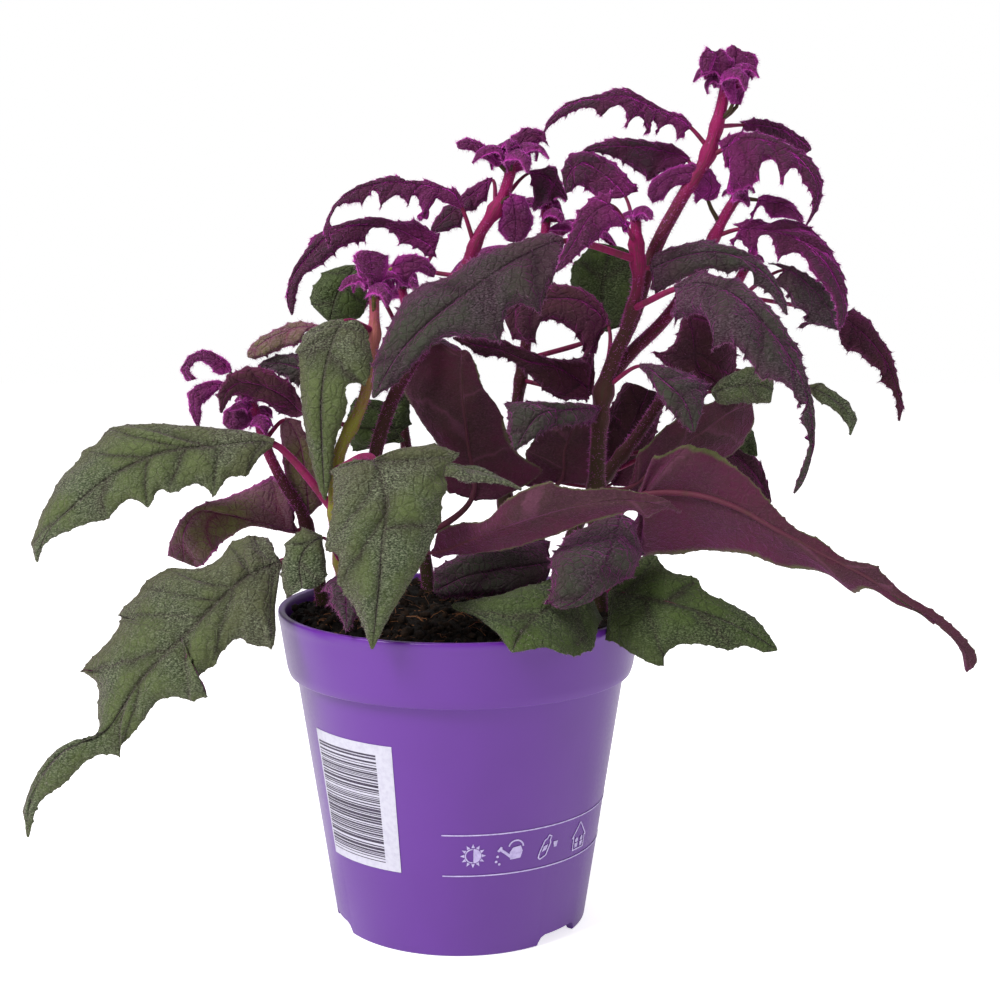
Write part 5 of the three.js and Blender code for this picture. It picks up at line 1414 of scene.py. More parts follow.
class LeafEffects:
    """The shader groups that every leaf's finish uses: its veins, its velvet and its margin.

    Scales are in waves to a metre, and other numbers are shares of a vein's gap or of a blade.
    """

    WANDER_SCALE, WANDER = 150.0, 0.36
    NET_SCALE, NET_WIDTH, NET_RANDOMNESS = 330.0, 0.16, 0.9
    BAND_WIDTH, RIB_BAND_WIDTH = 4.0, 3.5
    VEIN_TAPER, FADE_START, FADED = 0.4, 0.75, 0.15
    BAND_HEIGHT, NET_HEIGHT, RIB_HEIGHT = 0.5, 0.4, 0.6
    HAIR_SCALE, HAIR_STRETCH, HAIR_ROUGHNESS = 2300.0, (0.6, 0.6, 1.3), 0.75
    PATCH_SCALE, THIN_PATCH = 62.0, 0.3
    SPECK_RANGE, PATCH_RANGE = (0.4, 0.76), (0.36, 0.64)
    DRIFT_SCALE, BASE_DRIFT = 90.0, 0.15
    MARGIN_FADE, FAR_RANGE, UPPER_RANGE, LOWER_HAZE = 0.1, (0.45, 1.05), (0.2, 0.8), 0.35

    def __init__(self) -> None:
        """Builds each group once."""
        self.veins, self.velvet, self.margin = self._veins(), self._velvet(), self._margin()

    def _veins(self) -> NodeTree:
        """Builds the rib, the side veins that run to the teeth, and the fine net between. It also
        builds a broad band along the veins, which the finishes colour with the veins' own tone and
        with painted shade in the sunken creases.

        Returns:
            The group.
        """
        inputs = {"Rib Width": 0.07, "Vein Width": 0.16, "Net Scale": self.NET_SCALE}
        wires, taken = Wiring.of_group("leaf_veins", inputs)
        turn, reach = wires.map("veins")
        clouds = wires.clouds(self.WANDER_SCALE)
        wander = wires.maths("MULTIPLY_ADD", clouds, self.WANDER, -self.WANDER / 2)
        wave = wires.maths("PINGPONG", wires.plus(turn, wander), 1.0)
        away = wires.maths("SUBTRACT", 1.0, wave)
        taper = wires.ramp(reach, 0.0, 1.0, 1.0, self.VEIN_TAPER)
        slim = wires.times(taken.outputs["Vein Width"], taper)
        side = wires.ramp(away, 0.0, slim, 1.0, 0.0)
        band = wires.ramp(away, 0.0, wires.times(slim, self.BAND_WIDTH), 1.0, 0.0)
        fade = wires.ramp(reach, self.FADE_START, 1.0, 1.0, self.FADED)
        width = taken.outputs["Rib Width"]
        rib = wires.ramp(reach, 0.0, width, 1.0, 0.0)
        rib_band = wires.ramp(reach, 0.0, wires.times(width, self.RIB_BAND_WIDTH), 1.0, 0.0)
        scale = taken.outputs["Net Scale"]
        inputs = {"Vector": wires.place(), "Scale": scale, "Randomness": self.NET_RANDOMNESS}
        cells = wires.node("TexVoronoi", inputs, feature="DISTANCE_TO_EDGE").outputs[0]
        net = wires.ramp(cells, 0.0, self.NET_WIDTH, 1.0, 0.0)
        height = wires.plus(wires.times(band, self.BAND_HEIGHT), wires.times(net, self.NET_HEIGHT))
        return wires.give({
            "Veins": wires.maths("MAXIMUM", wires.times(side, fade), rib),
            # This mask carries the veins' own tone mixed with painted shade in the sunken creases
            # along them.
            "Band": wires.maths("MAXIMUM", wires.times(band, fade), rib_band),
            "Net": net,
            "Height": wires.plus(height, wires.times(rib, self.RIB_HEIGHT)),
        })

    def _velvet(self) -> NodeTree:
        """Builds the fine pale grain that short level hairs give a leaf's face.

        Returns:
            The group.
        """
        inputs = {"Scale": self.HAIR_SCALE, "Amount": 0.5}
        wires, taken = Wiring.of_group("leaf_velvet", inputs)
        where = wires.place(self.HAIR_STRETCH)
        fine = wires.clouds(taken.outputs["Scale"], 3.0, self.HAIR_ROUGHNESS, where)
        broad = wires.clouds(self.PATCH_SCALE, 3.0)
        speck = wires.ramp(fine, *self.SPECK_RANGE)
        thick = wires.ramp(broad, *self.PATCH_RANGE, self.THIN_PATCH, 1.0)
        grain = wires.times(wires.times(speck, thick), taken.outputs["Amount"])
        return wires.give({"Grain": grain, "Patches": broad, "Fine": fine})

    def _margin(self) -> NodeTree:
        """Builds the masks of a leaf's coloured margin and of its hazy base and upper side.

        Returns:
            The group.
        """
        inputs = {"Width": 0.12, "Base Reach": 0.4, "Wander": 0.12}
        wires, taken = Wiring.of_group("leaf_margin", inputs)
        reach = wires.map("veins")[1]
        share, across = wires.map("blade")
        drift = wires.maths("MULTIPLY_ADD", wires.clouds(self.DRIFT_SCALE, 3.0), 2.0, -1.0)
        edge = wires.plus(reach, wires.times(drift, taken.outputs["Wander"]))
        start = wires.maths("SUBTRACT", 1.0, taken.outputs["Width"])
        base = wires.plus(share, wires.times(drift, self.BASE_DRIFT))
        near = wires.ramp(base, 0.0, taken.outputs["Base Reach"], 1.0, 0.0)
        upper = wires.ramp(across, *self.UPPER_RANGE, 1.0, self.LOWER_HAZE)
        far = wires.times(wires.ramp(reach, *self.FAR_RANGE), upper)
        return wires.give({
            "Margin": wires.ramp(edge, start, wires.plus(start, self.MARGIN_FADE)),
            "Haze": wires.maths("MAXIMUM", near, far),
        })


@dataclass(frozen=True)
class LeafFinish:
    """The colours of one face of a leaf, from its flesh to its fuzz."""

    name: str
    flesh: Colour
    deep: Colour
    vein: Colour
    # band: the veins' own tone mixed with painted shade in the sunken creases along the veins and
    # the net
    band: Colour
    haze: Colour
    margin: Colour
    grain: Colour
    grain_amount: float = 0.5
    haze_amount: float = 0.5
    margin_amount: float = 0.6
    margin_width: float = 0.1
    margin_wander: float = 0.05
    vein_amount: float = 0.7
    vein_tone_and_crease_shade_amount: float = 0.5
    net_amount: float = 0.3
    vein_width: float = 0.12
    deep_range: Pair = (0.35, 0.65)
    relief: float = -0.9
    fuzz: float = 0.5
    wrinkles: float = 1.2
    wrinkle_scale: float = 330.0
    depth: float = 0.0009
    sheen: float = 0.5
    sheen_roughness: float = 0.4
    sheen_tint: Colour = (203.4, 97.2, 187.5)
    roughness: float = 0.66
    grain_roughness: float = 0.25
    specular: float = 0.2

    def material(self, effects: LeafEffects) -> Material:
        """Builds the finish.

        Args:
            effects: The shader groups that leaves share.

        Returns:
            The material.
        """
        made, wires = Wiring.of_material(self.name)
        veins = wires.group(effects.veins, Vein_Width=self.vein_width).outputs
        velvet = wires.group(effects.velvet, Amount=self.grain_amount).outputs
        margin = wires.group(effects.margin, Width=self.margin_width, Wander=self.margin_wander)
        patches = wires.ramp(velvet["Patches"], *self.deep_range)
        body = wires.mix(patches, tint(self.flesh), tint(self.deep))
        layers = (
            (margin.outputs["Haze"], self.haze_amount, self.haze),
            # The band and the net layers paint shade into the sunken creases along the veins, over
            # the veins' own tone.
            (veins["Band"], self.vein_tone_and_crease_shade_amount, self.band),
            (veins["Net"], self.net_amount, self.band),
            (veins["Veins"], self.vein_amount, self.vein),
            (margin.outputs["Margin"], self.margin_amount, self.margin),
            (velvet["Grain"], 1.0, self.grain),
        )
        for mask, amount, colour in layers:
            body = wires.mix(wires.times(mask, amount), body, tint(colour))
        wrinkles = wires.times(wires.clouds(self.wrinkle_scale, 3.0, 0.6), self.wrinkles)
        height = wires.times(veins["Height"], self.relief)
        height = wires.plus(height, wires.times(velvet["Fine"], self.fuzz))
        grain = (velvet["Grain"], self.grain_roughness, self.roughness)
        inputs = {
            "Base Color": body,
            "Roughness": wires.maths("MULTIPLY_ADD", *grain),
            "Specular IOR Level": self.specular,
            "Sheen Weight": self.sheen,
            "Sheen Roughness": self.sheen_roughness,
            "Sheen Tint": tint(self.sheen_tint),
        }
        wires.shade(inputs, wires.plus(height, wrinkles), 1.0, self.depth)
        return made


@dataclass(frozen=True)
class StemFinish:
    """The colours of a stem from its woody foot to its growing tip."""

    name: str
    foot: Colour
    middle: Colour
    top: Colour
    streak: Colour
    middle_range: Pair = (0.1, 0.6)
    top_range: Pair = (0.6, 0.92)
    streak_amount: float = 0.75
    streak_range: Pair = (0.45, 0.7)
    streak_stretch: Point = (7.0, 8.0, 1.0)
    wander: float = 0.2
    wander_scale: float = 90.0
    fuzz_scale: float = 1600.0
    relief: float = 0.6
    depth: float = 0.0005
    sheen: float = 0.5
    sheen_roughness: float = 0.35
    sheen_tint: Colour = (231.1, 69.3, 187.5)
    roughness: Pair = (0.5, 0.7)
    specular: float = 0.2

    def material(self) -> Material:
        """Builds the finish, streaked along the stem.

        Returns:
            The material.
        """
        made, wires = Wiring.of_material(self.name)
        clouds = wires.clouds(self.wander_scale)
        wander = wires.maths("MULTIPLY_ADD", clouds, self.wander, -self.wander / 2)
        along = wires.plus(wires.map("blade")[0], wander)
        low, high = (wires.ramp(along, *span) for span in (self.middle_range, self.top_range))
        body = wires.mix(low, tint(self.foot), tint(self.middle))
        body = wires.mix(high, body, tint(self.top))
        flat = wires.node("UVMap", uv_map="blade").outputs[0]
        where = wires.node("Mapping", {0: flat, 3: self.streak_stretch}).outputs[0]
        streaks = wires.clouds(3.0, 3.0, 0.6, where)
        mask = wires.times(wires.ramp(streaks, *self.streak_range), self.streak_amount)
        inputs = {
            "Base Color": wires.mix(mask, body, tint(self.streak)),
            "Roughness": wires.ramp(streaks, 0.3, 0.7, *self.roughness),
            "Sheen Weight": self.sheen,
            "Specular IOR Level": self.specular,
            "Sheen Roughness": self.sheen_roughness,
            "Sheen Tint": tint(self.sheen_tint),
        }
        fuzz = wires.clouds(self.fuzz_scale, 2.0, 0.7)
        wires.shade(inputs, wires.plus(streaks, fuzz), self.relief, self.depth)
        return made


@dataclass(frozen=True)
class PatchyFinish:
    """A surface of two mixed colours with a fine relief: plastic, paper, ink, peat or hair."""

    name: str
    colour: Colour
    other: Colour
    patches: float = 260.0
    grain: float = 1500.0
    grain_amount: float = 0.0
    roughness: float = 0.6
    spread: float = 0.06
    relief: float = 0.0
    depth: float = 0.0005
    specular: float = 0.5
    sheen: float = 0.0
    patch_range: Pair = (0.38, 0.68)
    speck_range: Pair = (0.55, 0.78)

    def material(self) -> Material:
        """Builds the finish.

        Returns:
            The material.
        """
        made, wires = Wiring.of_material(self.name)
        lumps = wires.clouds(self.patches, 3.0, 0.6)
        fine = wires.clouds(self.grain, 3.0, 0.7)
        patches, specks = wires.ramp(lumps, *self.patch_range), wires.ramp(fine, *self.speck_range)
        body = wires.mix(patches, tint(self.colour), tint(self.other))
        speck = wires.times(specks, self.grain_amount)
        smoothest, roughest = self.roughness - self.spread, self.roughness + self.spread
        inputs = {
            "Base Color": wires.mix(speck, body, tint(self.other)),
            "Roughness": wires.ramp(fine, 0.3, 0.7, smoothest, roughest),
            "Specular IOR Level": self.specular,
            "Sheen Weight": self.sheen,
            "Sheen Tint": tint(self.other),
        }
        height = wires.plus(lumps, fine) if self.relief else None
        wires.shade(inputs, height, self.relief, self.depth)
        return made


LEAF_FINISHES: dict[str, LeafFinish] = {
    "mature_top": LeafFinish(
        "mature_leaf_top", (82, 94, 50), (46, 58, 32), (38, 26, 24), (38, 38, 26),
        (70, 38, 56), (116, 66, 98), (156, 164, 132), grain_amount=0.85, haze_amount=0.35,
        margin_amount=0.45, margin_width=0.04, sheen=0.25, sheen_tint=(170, 130, 165),
        net_amount=0.2, vein_tone_and_crease_shade_amount=0.7,
    ),
    "shaded_top": LeafFinish(
        "shaded_leaf_top", (62, 78, 32), (38, 50, 20), (34, 24, 20), (30, 34, 18),
        (48, 36, 34), (84, 70, 60), (132, 146, 104), grain_amount=0.7, haze_amount=0.3,
        margin_amount=0.3, margin_width=0.04, sheen=0.15, sheen_tint=(150, 140, 150),
        net_amount=0.2, vein_tone_and_crease_shade_amount=0.7,
    ),
    "mature_under": LeafFinish(
        "mature_leaf_under", (92, 46, 66), (70, 46, 50), (112, 50, 86), (84, 62, 52),
        (96, 38, 76), (96, 92, 56), (140, 92, 120), relief=0.4, grain_amount=0.4,
    ),
    "hazy_top": LeafFinish(
        "hazy_leaf_top", (110, 112, 62), (90, 70, 56), (96, 26, 58), (98, 52, 62),
        (128, 44, 104), (190, 64, 164), (170, 140, 150), grain_amount=0.6, haze_amount=0.55,
        margin_amount=0.8, margin_width=0.1, margin_wander=0.06, sheen=0.5,
        sheen_tint=(210, 80, 190),
    ),
    "dark_top": LeafFinish(
        "dark_leaf_top", (52, 58, 42), (34, 28, 28), (28, 8, 18), (40, 20, 28),
        (78, 24, 60), (186, 40, 156), (132, 112, 122), grain_amount=0.6, haze_amount=0.5,
        margin_amount=0.85, margin_width=0.035, margin_wander=0.015, vein_tone_and_crease_shade_amount=0.6, sheen=0.6,
        sheen_roughness=0.3, sheen_tint=(200, 50, 180), vein_width=0.16,
    ),
    "dark_under": LeafFinish(
        "dark_leaf_under", (66, 14, 32), (46, 14, 24), (90, 22, 56), (58, 28, 32),
        (80, 16, 54), (150, 36, 120), (116, 46, 86), relief=0.4, grain_amount=0.4, sheen=0.5,
    ),
    "maroon_top": LeafFinish(
        "maroon_leaf_top", (64, 34, 36), (42, 18, 24), (30, 6, 16), (50, 16, 28),
        (86, 16, 58), (170, 44, 130), (116, 70, 92), grain_amount=0.45, haze_amount=0.5,
        margin_amount=0.8, margin_width=0.04, margin_wander=0.02, sheen=0.6,
        sheen_tint=(200, 50, 170),
    ),
    "velvet_top": LeafFinish(
        "velvet_leaf_top", (56, 40, 46), (50, 14, 32), (46, 8, 28), (70, 14, 44),
        (108, 16, 84), (206, 46, 176), (140, 62, 124), grain_amount=0.6, haze_amount=0.7,
        margin_amount=0.9, margin_width=0.06, margin_wander=0.03, sheen=0.9, sheen_roughness=0.28,
        sheen_tint=(220, 60, 200),
    ),
    "underside_top": LeafFinish(
        "broad_leaf_top", (76, 88, 46), (58, 66, 36), (54, 36, 36), (60, 48, 40),
        (80, 50, 66), (110, 92, 92), (146, 148, 120), grain_amount=0.55,
    ),
    "underside_under": LeafFinish(
        "broad_leaf_under", (80, 32, 50), (60, 32, 38), (112, 60, 86), (66, 46, 40),
        (88, 26, 62), (84, 94, 48), (126, 78, 104), relief=0.4, grain_amount=0.4,
        margin_amount=0.9, margin_width=0.1, margin_wander=0.14, haze_amount=0.5, vein_amount=0.5,
    ),
    "young_top": LeafFinish(
        "young_leaf_top", (92, 26, 74), (60, 18, 42), (50, 8, 34), (84, 14, 56),
        (136, 22, 116), (214, 60, 190), (176, 86, 160), grain_amount=0.6, haze_amount=0.85,
        margin_amount=0.8, sheen=1.0, sheen_roughness=0.26, sheen_tint=(230, 76, 215),
    ),
    "young_under": LeafFinish(
        "young_leaf_under", (104, 12, 56), (70, 10, 38), (134, 24, 88), (80, 16, 46),
        (124, 14, 80), (200, 60, 170), (164, 70, 136), relief=0.4, grain_amount=0.5, sheen=0.8,
        sheen_tint=(225, 70, 205),
    ),
}

VELVET_LEAVES = (
    "top_left", "second_left", "right_upper", "right_arch", "broad_purple", "pointed",
    "right_large", "left_arch", "left_arch_low", "brown_left", "brown_right",
)
MAROON_LEAVES = (
    "maroon_left", "maroon_middle", "maroon_right", "back_upper", "low_right", "far_right",
    "dark_arch",
)
SHADED_LEAVES = ("over_rim", "rim_right", "back_arch", "green_behind", "back_right", "back_low")
HAZY_LEAVES = ("middle_left", "behind_left", "shoulder_left")
LOOKS: dict[str, tuple[str, str]] = {
    **{name: ("velvet_top", "young_under") for name in VELVET_LEAVES},
    **{name: ("maroon_top", "dark_under") for name in MAROON_LEAVES},
    **{name: ("shaded_top", "mature_under") for name in SHADED_LEAVES},
    **{name: ("hazy_top", "young_under") for name in HAZY_LEAVES},
}

STEM_FINISHES: dict[str, StemFinish] = {
    "usual": StemFinish("stem_bark", (60, 52, 28), (66, 24, 32), (140, 14, 82), (56, 46, 30)),
    "yellow": StemFinish(
        "yellow_stem_bark", (70, 66, 34), (146, 146, 56), (176, 84, 104), (140, 96, 62)
    ),
    "soft_stalk": StemFinish("soft_stalk", (96, 40, 58), (86, 42, 56), (76, 44, 50), (78, 52, 48)),
    "stalk": StemFinish("leaf_stalk", (128, 26, 74), (84, 28, 50), (56, 24, 36), (84, 44, 44)),
}

PLAIN_FINISHES: dict[str, PatchyFinish] = {
    "plastic": PatchyFinish(
        "moulded_purple_plastic", (96, 38, 144), (91, 36, 137), patches=14.0, grain=900.0,
        roughness=0.32, spread=0.03, relief=0.03, depth=0.0002,
    ),
    "paper": PatchyFinish("label_paper", (202, 200, 214), (192, 189, 206), 600.0, roughness=0.55),
    "ink": PatchyFinish("label_ink", (40, 30, 52), (62, 50, 76), 600.0, roughness=0.5),
    "pale_ink": PatchyFinish(
        "care_band_ink", (196, 182, 226), (172, 156, 206), 600.0, roughness=0.45
    ),
    "peat": PatchyFinish(
        "damp_peat", (9, 6, 4), (26, 18, 12), grain_amount=0.5, roughness=0.88, spread=0.1,
        relief=0.9, depth=0.0015, specular=0.2,
    ),
    "crumbs": PatchyFinish(
        "peat_crumbs", (13, 9, 6), (44, 30, 19), grain_amount=0.5, roughness=0.88, spread=0.1,
        relief=0.9, depth=0.001, specular=0.2,
    ),
    "fibres": PatchyFinish(
        "peat_fibres", (90, 54, 28), (132, 84, 46), grain_amount=0.4, roughness=0.8
    ),
    "young_hairs": PatchyFinish("young_hairs", (180, 50, 158), (216, 118, 200), 420.0, sheen=0.4),
    "dark_hairs": PatchyFinish("dark_hairs", (124, 54, 106), (168, 104, 152), 420.0, sheen=0.3),
    "under_hairs": PatchyFinish("under_hairs", (104, 50, 78), (136, 84, 112), 420.0, sheen=0.3),
    "mature_hairs": PatchyFinish("mature_hairs", (112, 84, 92), (156, 146, 142), 420.0, sheen=0.3),
}

HAIR_OF: dict[Kind, str] = {
    Kind.MATURE: "mature_hairs",
    Kind.DARK: "dark_hairs",
    Kind.UNDERSIDE: "under_hairs",
}


ACROSS = np.array([0.0, 1.0, 0.0])
UP = np.array([0.0, 0.0, 1.0])


def turned(section: Array, sides: int) -> Array:
    """Turns a section round the upright axis.

    Args:
        section: Rows of radius and height.
        sides: Points in a ring.

    Returns:
        The points, by ring.
    """
    flat = section[:, None, :1] * circle(sides)
    heights = np.broadcast_to(section[:, None, 1:], (len(section), sides, 1))
    return np.concatenate([flat, heights], -1)


def closed_prism(rings: Array) -> Form:
    """Joins rings of points into a closed solid.

    Args:
        rings: The points, by ring.

    Returns:
        The solid, with one face over its first ring and one over its last.
    """
    form, ends = Form(), np.arange(rings.shape[1])[None]
    form.add(rings, grid_faces(*rings.shape[:2], is_closed=True))
    form.add(rings[0], ends)
    form.add(rings[-1], ends[:, ::-1])
    return form


def weld(piece: Object) -> None:
    """Joins the vertices of a piece that lie on each other and turns its faces outward.

    Args:
        piece: The piece to change.
    """
    sheet = bmesh.new()
    sheet.from_mesh(piece.data)
    bmesh.ops.remove_doubles(sheet, verts=sheet.verts, dist=1e-6)
    bmesh.ops.recalc_face_normals(sheet, faces=sheet.faces)
    sheet.to_mesh(piece.data)
    sheet.free()


def settled_mesh(piece: Object) -> Mesh:
    """Applies a piece's modifiers.

    Args:
        piece: The piece, which stays as it is.

    Returns:
        The mesh that results.
    """
    bpy.context.view_layer.update()
    graph = bpy.context.evaluated_depsgraph_get()
    return bpy.data.meshes.new_from_object(piece.evaluated_get(graph))


@dataclass
class Pot:
    """The thin moulded pot, with its collar, raised floor, foot notches and drain holes."""

    height: float = 109.0
    rim_radius: float = 62.2
    collar_height: float = 22.0
    collar_lower_radius: float = 58.7
    body_top_radius: float = 56.2
    foot_radius: float = 43.4
    foot_rounding: float = 0.8
    wall: float = 1.4
    floor_rise: float = 3.6
    hub_radius: float = 20.0
    foot_ring_width: float = 4.0
    notch_count: int = 3
    notch_width: float = 20.0
    notch_bearing: float = -160.0
    notch_radii: Pair = (36.4, 46.4)
    drain_radius: float = 4.0
    drain_gap: float = 0.8
    drain_cut: Pair = (-6.0, 14.0)
    drain_sides: int = 32
    sides: int = 168
    corner_steps: int = 5
    most_rounding: float = 0.45  # of the side beside a corner
    sharp_angle: float = 35.0

    def wall_radius(self, height: float | Array) -> float | Array:
        """Finds the body's outer radius.

        Args:
            height: The height, or several.

        Returns:
            The radius at each.
        """
        top = self.height - self.collar_height
        share = (height - self.foot_rounding) / (top - self.foot_rounding)
        return self.foot_radius + (self.body_top_radius - self.foot_radius) * share

    def _corners(self) -> list[Point]:
        """Lists the corners of the wall's section.

        Returns:
            The radius, the height and the rounding of each, from the foot's centre round to the
            floor's centre.
        """
        top, base, floor = self.height, self.height - self.collar_height, self.floor_rise
        rim, collar, foot = self.rim_radius, self.collar_lower_radius, self.foot_radius
        ring, bed = foot - self.foot_ring_width, floor + self.wall
        return [
            (0.0, 0.0, 0.0), (self.hub_radius, 0.0, 1.2), (self.hub_radius + 1.5, floor, 1.0),
            (ring, floor, 0.8), (ring + 1.2, 0.0, 0.6), (foot - 0.3, 0.0, 0.8),
            (self.wall_radius(base), base, 0.35), (collar - 0.2, base, 0.6),
            (collar + 0.7, base + 2.6, 1.4), (rim - 0.5, top - 4.2, 1.4), (rim, top - 2.2, 0.9),
            (rim - 0.1, top, 0.8), (rim - 2.3, top, 0.8), (rim - 2.9, top - 2.0, 1.2),
            (collar - 0.8, base + 2.6, 1.0), (self.body_top_radius - self.wall, base - 1.0, 1.0),
            (foot - self.wall, bed, 1.8), (0.0, bed, 0.0),
        ]

    def _profile(self) -> Array:
        """Draws the wall's section with every corner rounded.

        Returns:
            Rows of radius and height.
        """
        corners = np.array(self._corners())
        places, share = corners[:, :2], np.linspace(0, 1, self.corner_steps)[:, None]
        drawn = [places[:1]]
        for before, here, after, rounding in zip(places, places[1:], places[2:], corners[1:, 2]):
            start, end = (
                here + unit(way) * min(rounding, lengths(way) * self.most_rounding)
                for way in (before - here, after - here)
            )
            curve = (1 - share) ** 2 * start + 2 * share * (1 - share) * here + share**2 * end
            drawn.append(curve)
        return np.vstack([*drawn, places[-1:]])

    def _turned(self) -> Form:
        """Turns the section round the pot's axis.

        Returns:
            The closed wall, before anything is cut from it.
        """
        profile, form, fan = self._profile(), Form(), fan_faces(self.sides)
        rings = turned(profile[1:-1], self.sides)
        form.add(rings, grid_faces(len(rings), self.sides, is_closed=True)[:, ::-1])
        for end, order in ((0, [1, 0, 2]), (-1, [0, 1, 2])):
            form.add(np.vstack([rings[end], profile[end, 1] * UP]), fan[:, order])
        return form

    def _cutters(self) -> list[Object]:
        """Makes the shapes that the foot's notches and drains are cut with.

        Returns:
            A notch and a drain for each bearing.
        """
        half, rise, made = self.notch_width / 2, self.floor_rise, []
        side = [(-half, -1.0), (-half + 0.5, 1.2), (-half + 1.5, rise - 0.7), (-half + 3.2, rise)]
        outline = np.array(side + [(-x, z) for x, z in side[::-1]])
        reach = self.foot_radius - self.foot_ring_width - self.drain_radius - self.drain_gap
        for i in range(self.notch_count):
            bearing = math.radians(self.notch_bearing + i * 360 / self.notch_count)
            out = np.array([math.cos(bearing), math.sin(bearing), 0.0])
            flat = outline[:, :1] * np.array([-out[1], out[0], 0.0]) + outline[:, 1:] * UP
            notch = closed_prism(np.stack([out * radius + flat for radius in self.notch_radii]))
            ends, radii = out * reach + np.outer(self.drain_cut, UP), np.full(2, self.drain_radius)
            points, _ = tube(ends, np.stack([UP, UP]), radii, self.drain_sides, ACROSS)
            drain = closed_prism(points.reshape(2, -1, 3))
            made.append(notch.piece(f"notch_cutter_{i}", [], is_smooth=False))
            made.append(drain.piece(f"drain_cutter_{i}", [], is_smooth=False))
        return made

    def build(self, finish: Material) -> Object:
        """Makes the pot with its notches and drains cut through.

        Args:
            finish: The moulded plastic.

        Returns:
            The pot.
        """
        rough = self._turned().piece("pot_blank", [finish])
        weld(rough)
        cutters = self._cutters()
        for cutter in cutters:
            weld(cutter)
            change = rough.modifiers.new(cutter.name, "BOOLEAN")
            change.object, change.operation, change.solver = cutter, "DIFFERENCE", "EXACT"
        mesh = settled_mesh(rough)
        for spare in [rough, *cutters]:
            bpy.data.objects.remove(spare)
        mesh.shade_smooth()
        mesh.set_sharp_from_angle(angle=math.radians(self.sharp_angle))
        return stand("pot_body", mesh)


def arc(middle: Pair, radius: float, start: float, end: float, steps: int = 12) -> Array:
    """Draws an arc.

    Args:
        middle: The point that it runs round.
        radius: Its radius.
        start: The bearing of its first spot.
        end: The bearing of its last.
        steps: How many spots it has.

    Returns:
        The spots, right and up.
    """
    turn = np.radians(np.linspace(start, end, steps))
    return np.array(middle) + radius * np.stack([np.cos(turn), np.sin(turn)], -1)


def sun_ray(bearing: float) -> Array:
    """Draws one pointed ray of the sun."""
    out, beside = arc((0.0, 0.0), 1.0, bearing, bearing + 90, 2) * [[1.0], [0.42]]
    return np.stack([out * 2.1 + beside, out * 3.1, out * 2.1 - beside])


@dataclass(frozen=True)
class Picture:
    """A care picture of filled outlines and of lines with their widths.

    Its spots are in millimetres right and up from its middle, before it is scaled.
    """

    bearing: float
    height: float
    fills: tuple[Array | tuple[Pair, ...], ...]
    lines: tuple[tuple[float, Array | tuple[Pair, ...]], ...]


SUN = Picture(
    bearing=-84.2, height=36.2,
    fills=(arc((0.1, 0), 1.9, -90, 90, 14), *(sun_ray(bearing) for bearing in range(0, 360, 30))),
    lines=((0.32, arc((-0.1, 0), 1.75, 90, 270, 14)),),
)
CAN = Picture(
    bearing=-69.0, height=36.2,
    fills=(
        ((-0.4, -1.7), (2.3, -1.5), (2.8, 0.3), (2.2, 1.7), (0.2, 1.4), (-0.6, 0.2)),
        *(arc(drop, 0.34, 0, 330, 8) for drop in ((-3.6, -0.6), (-3.9, -1.9), (-3.1, -2.6))),
    ),
    lines=(
        (0.7, ((-0.3, -0.9), (-2.0, 0.5), (-3.0, 1.2))), (0.6, ((-3.5, 0.7), (-2.6, 1.8))),
        (0.4, arc((1.0, 1.3), 1.9, 5, 165)),
    ),
)
BOTTLE = Picture(
    bearing=-53.5, height=36.2,
    fills=(
        ((-1.5, -1.2), (-0.2, -0.7), (0.3, 0.6), (-1.0, 0.2)),
        ((2.2, -0.6), (3.1, -0.6), (3.4, 0.9), (1.9, 0.9)),
    ),
    lines=((0.36, (
        (-1.9, -3.0), (-0.2, -2.2), (1.0, 0.8), (0.8, 1.6), (1.2, 2.5), (0.4, 2.9), (-0.1, 2.1),
        (-0.8, 1.7), (-2.1, -1.2), (-2.4, -2.4), (-1.9, -3.0),
    )),),
)
HOUSE = Picture(
    bearing=-35.0, height=35.6,
    fills=tuple(
        shape for x in (-0.9, 1.3) for shape in (
            ((x - 0.5, -2.5), (x + 0.5, -2.5), (x + 0.7, -1.3), (x - 0.7, -1.3)),
            arc((x, -0.5), 0.62, 0, 330, 9),
        )
    ),
    lines=((0.36, (
        (-2.2, -3.0), (-2.2, 0.4), (-2.8, 0.2), (0.0, 4.0), (3.2, 0.0), (2.6, 0.2), (2.6, -3.0),
        (-2.2, -3.0),
    )),),
)


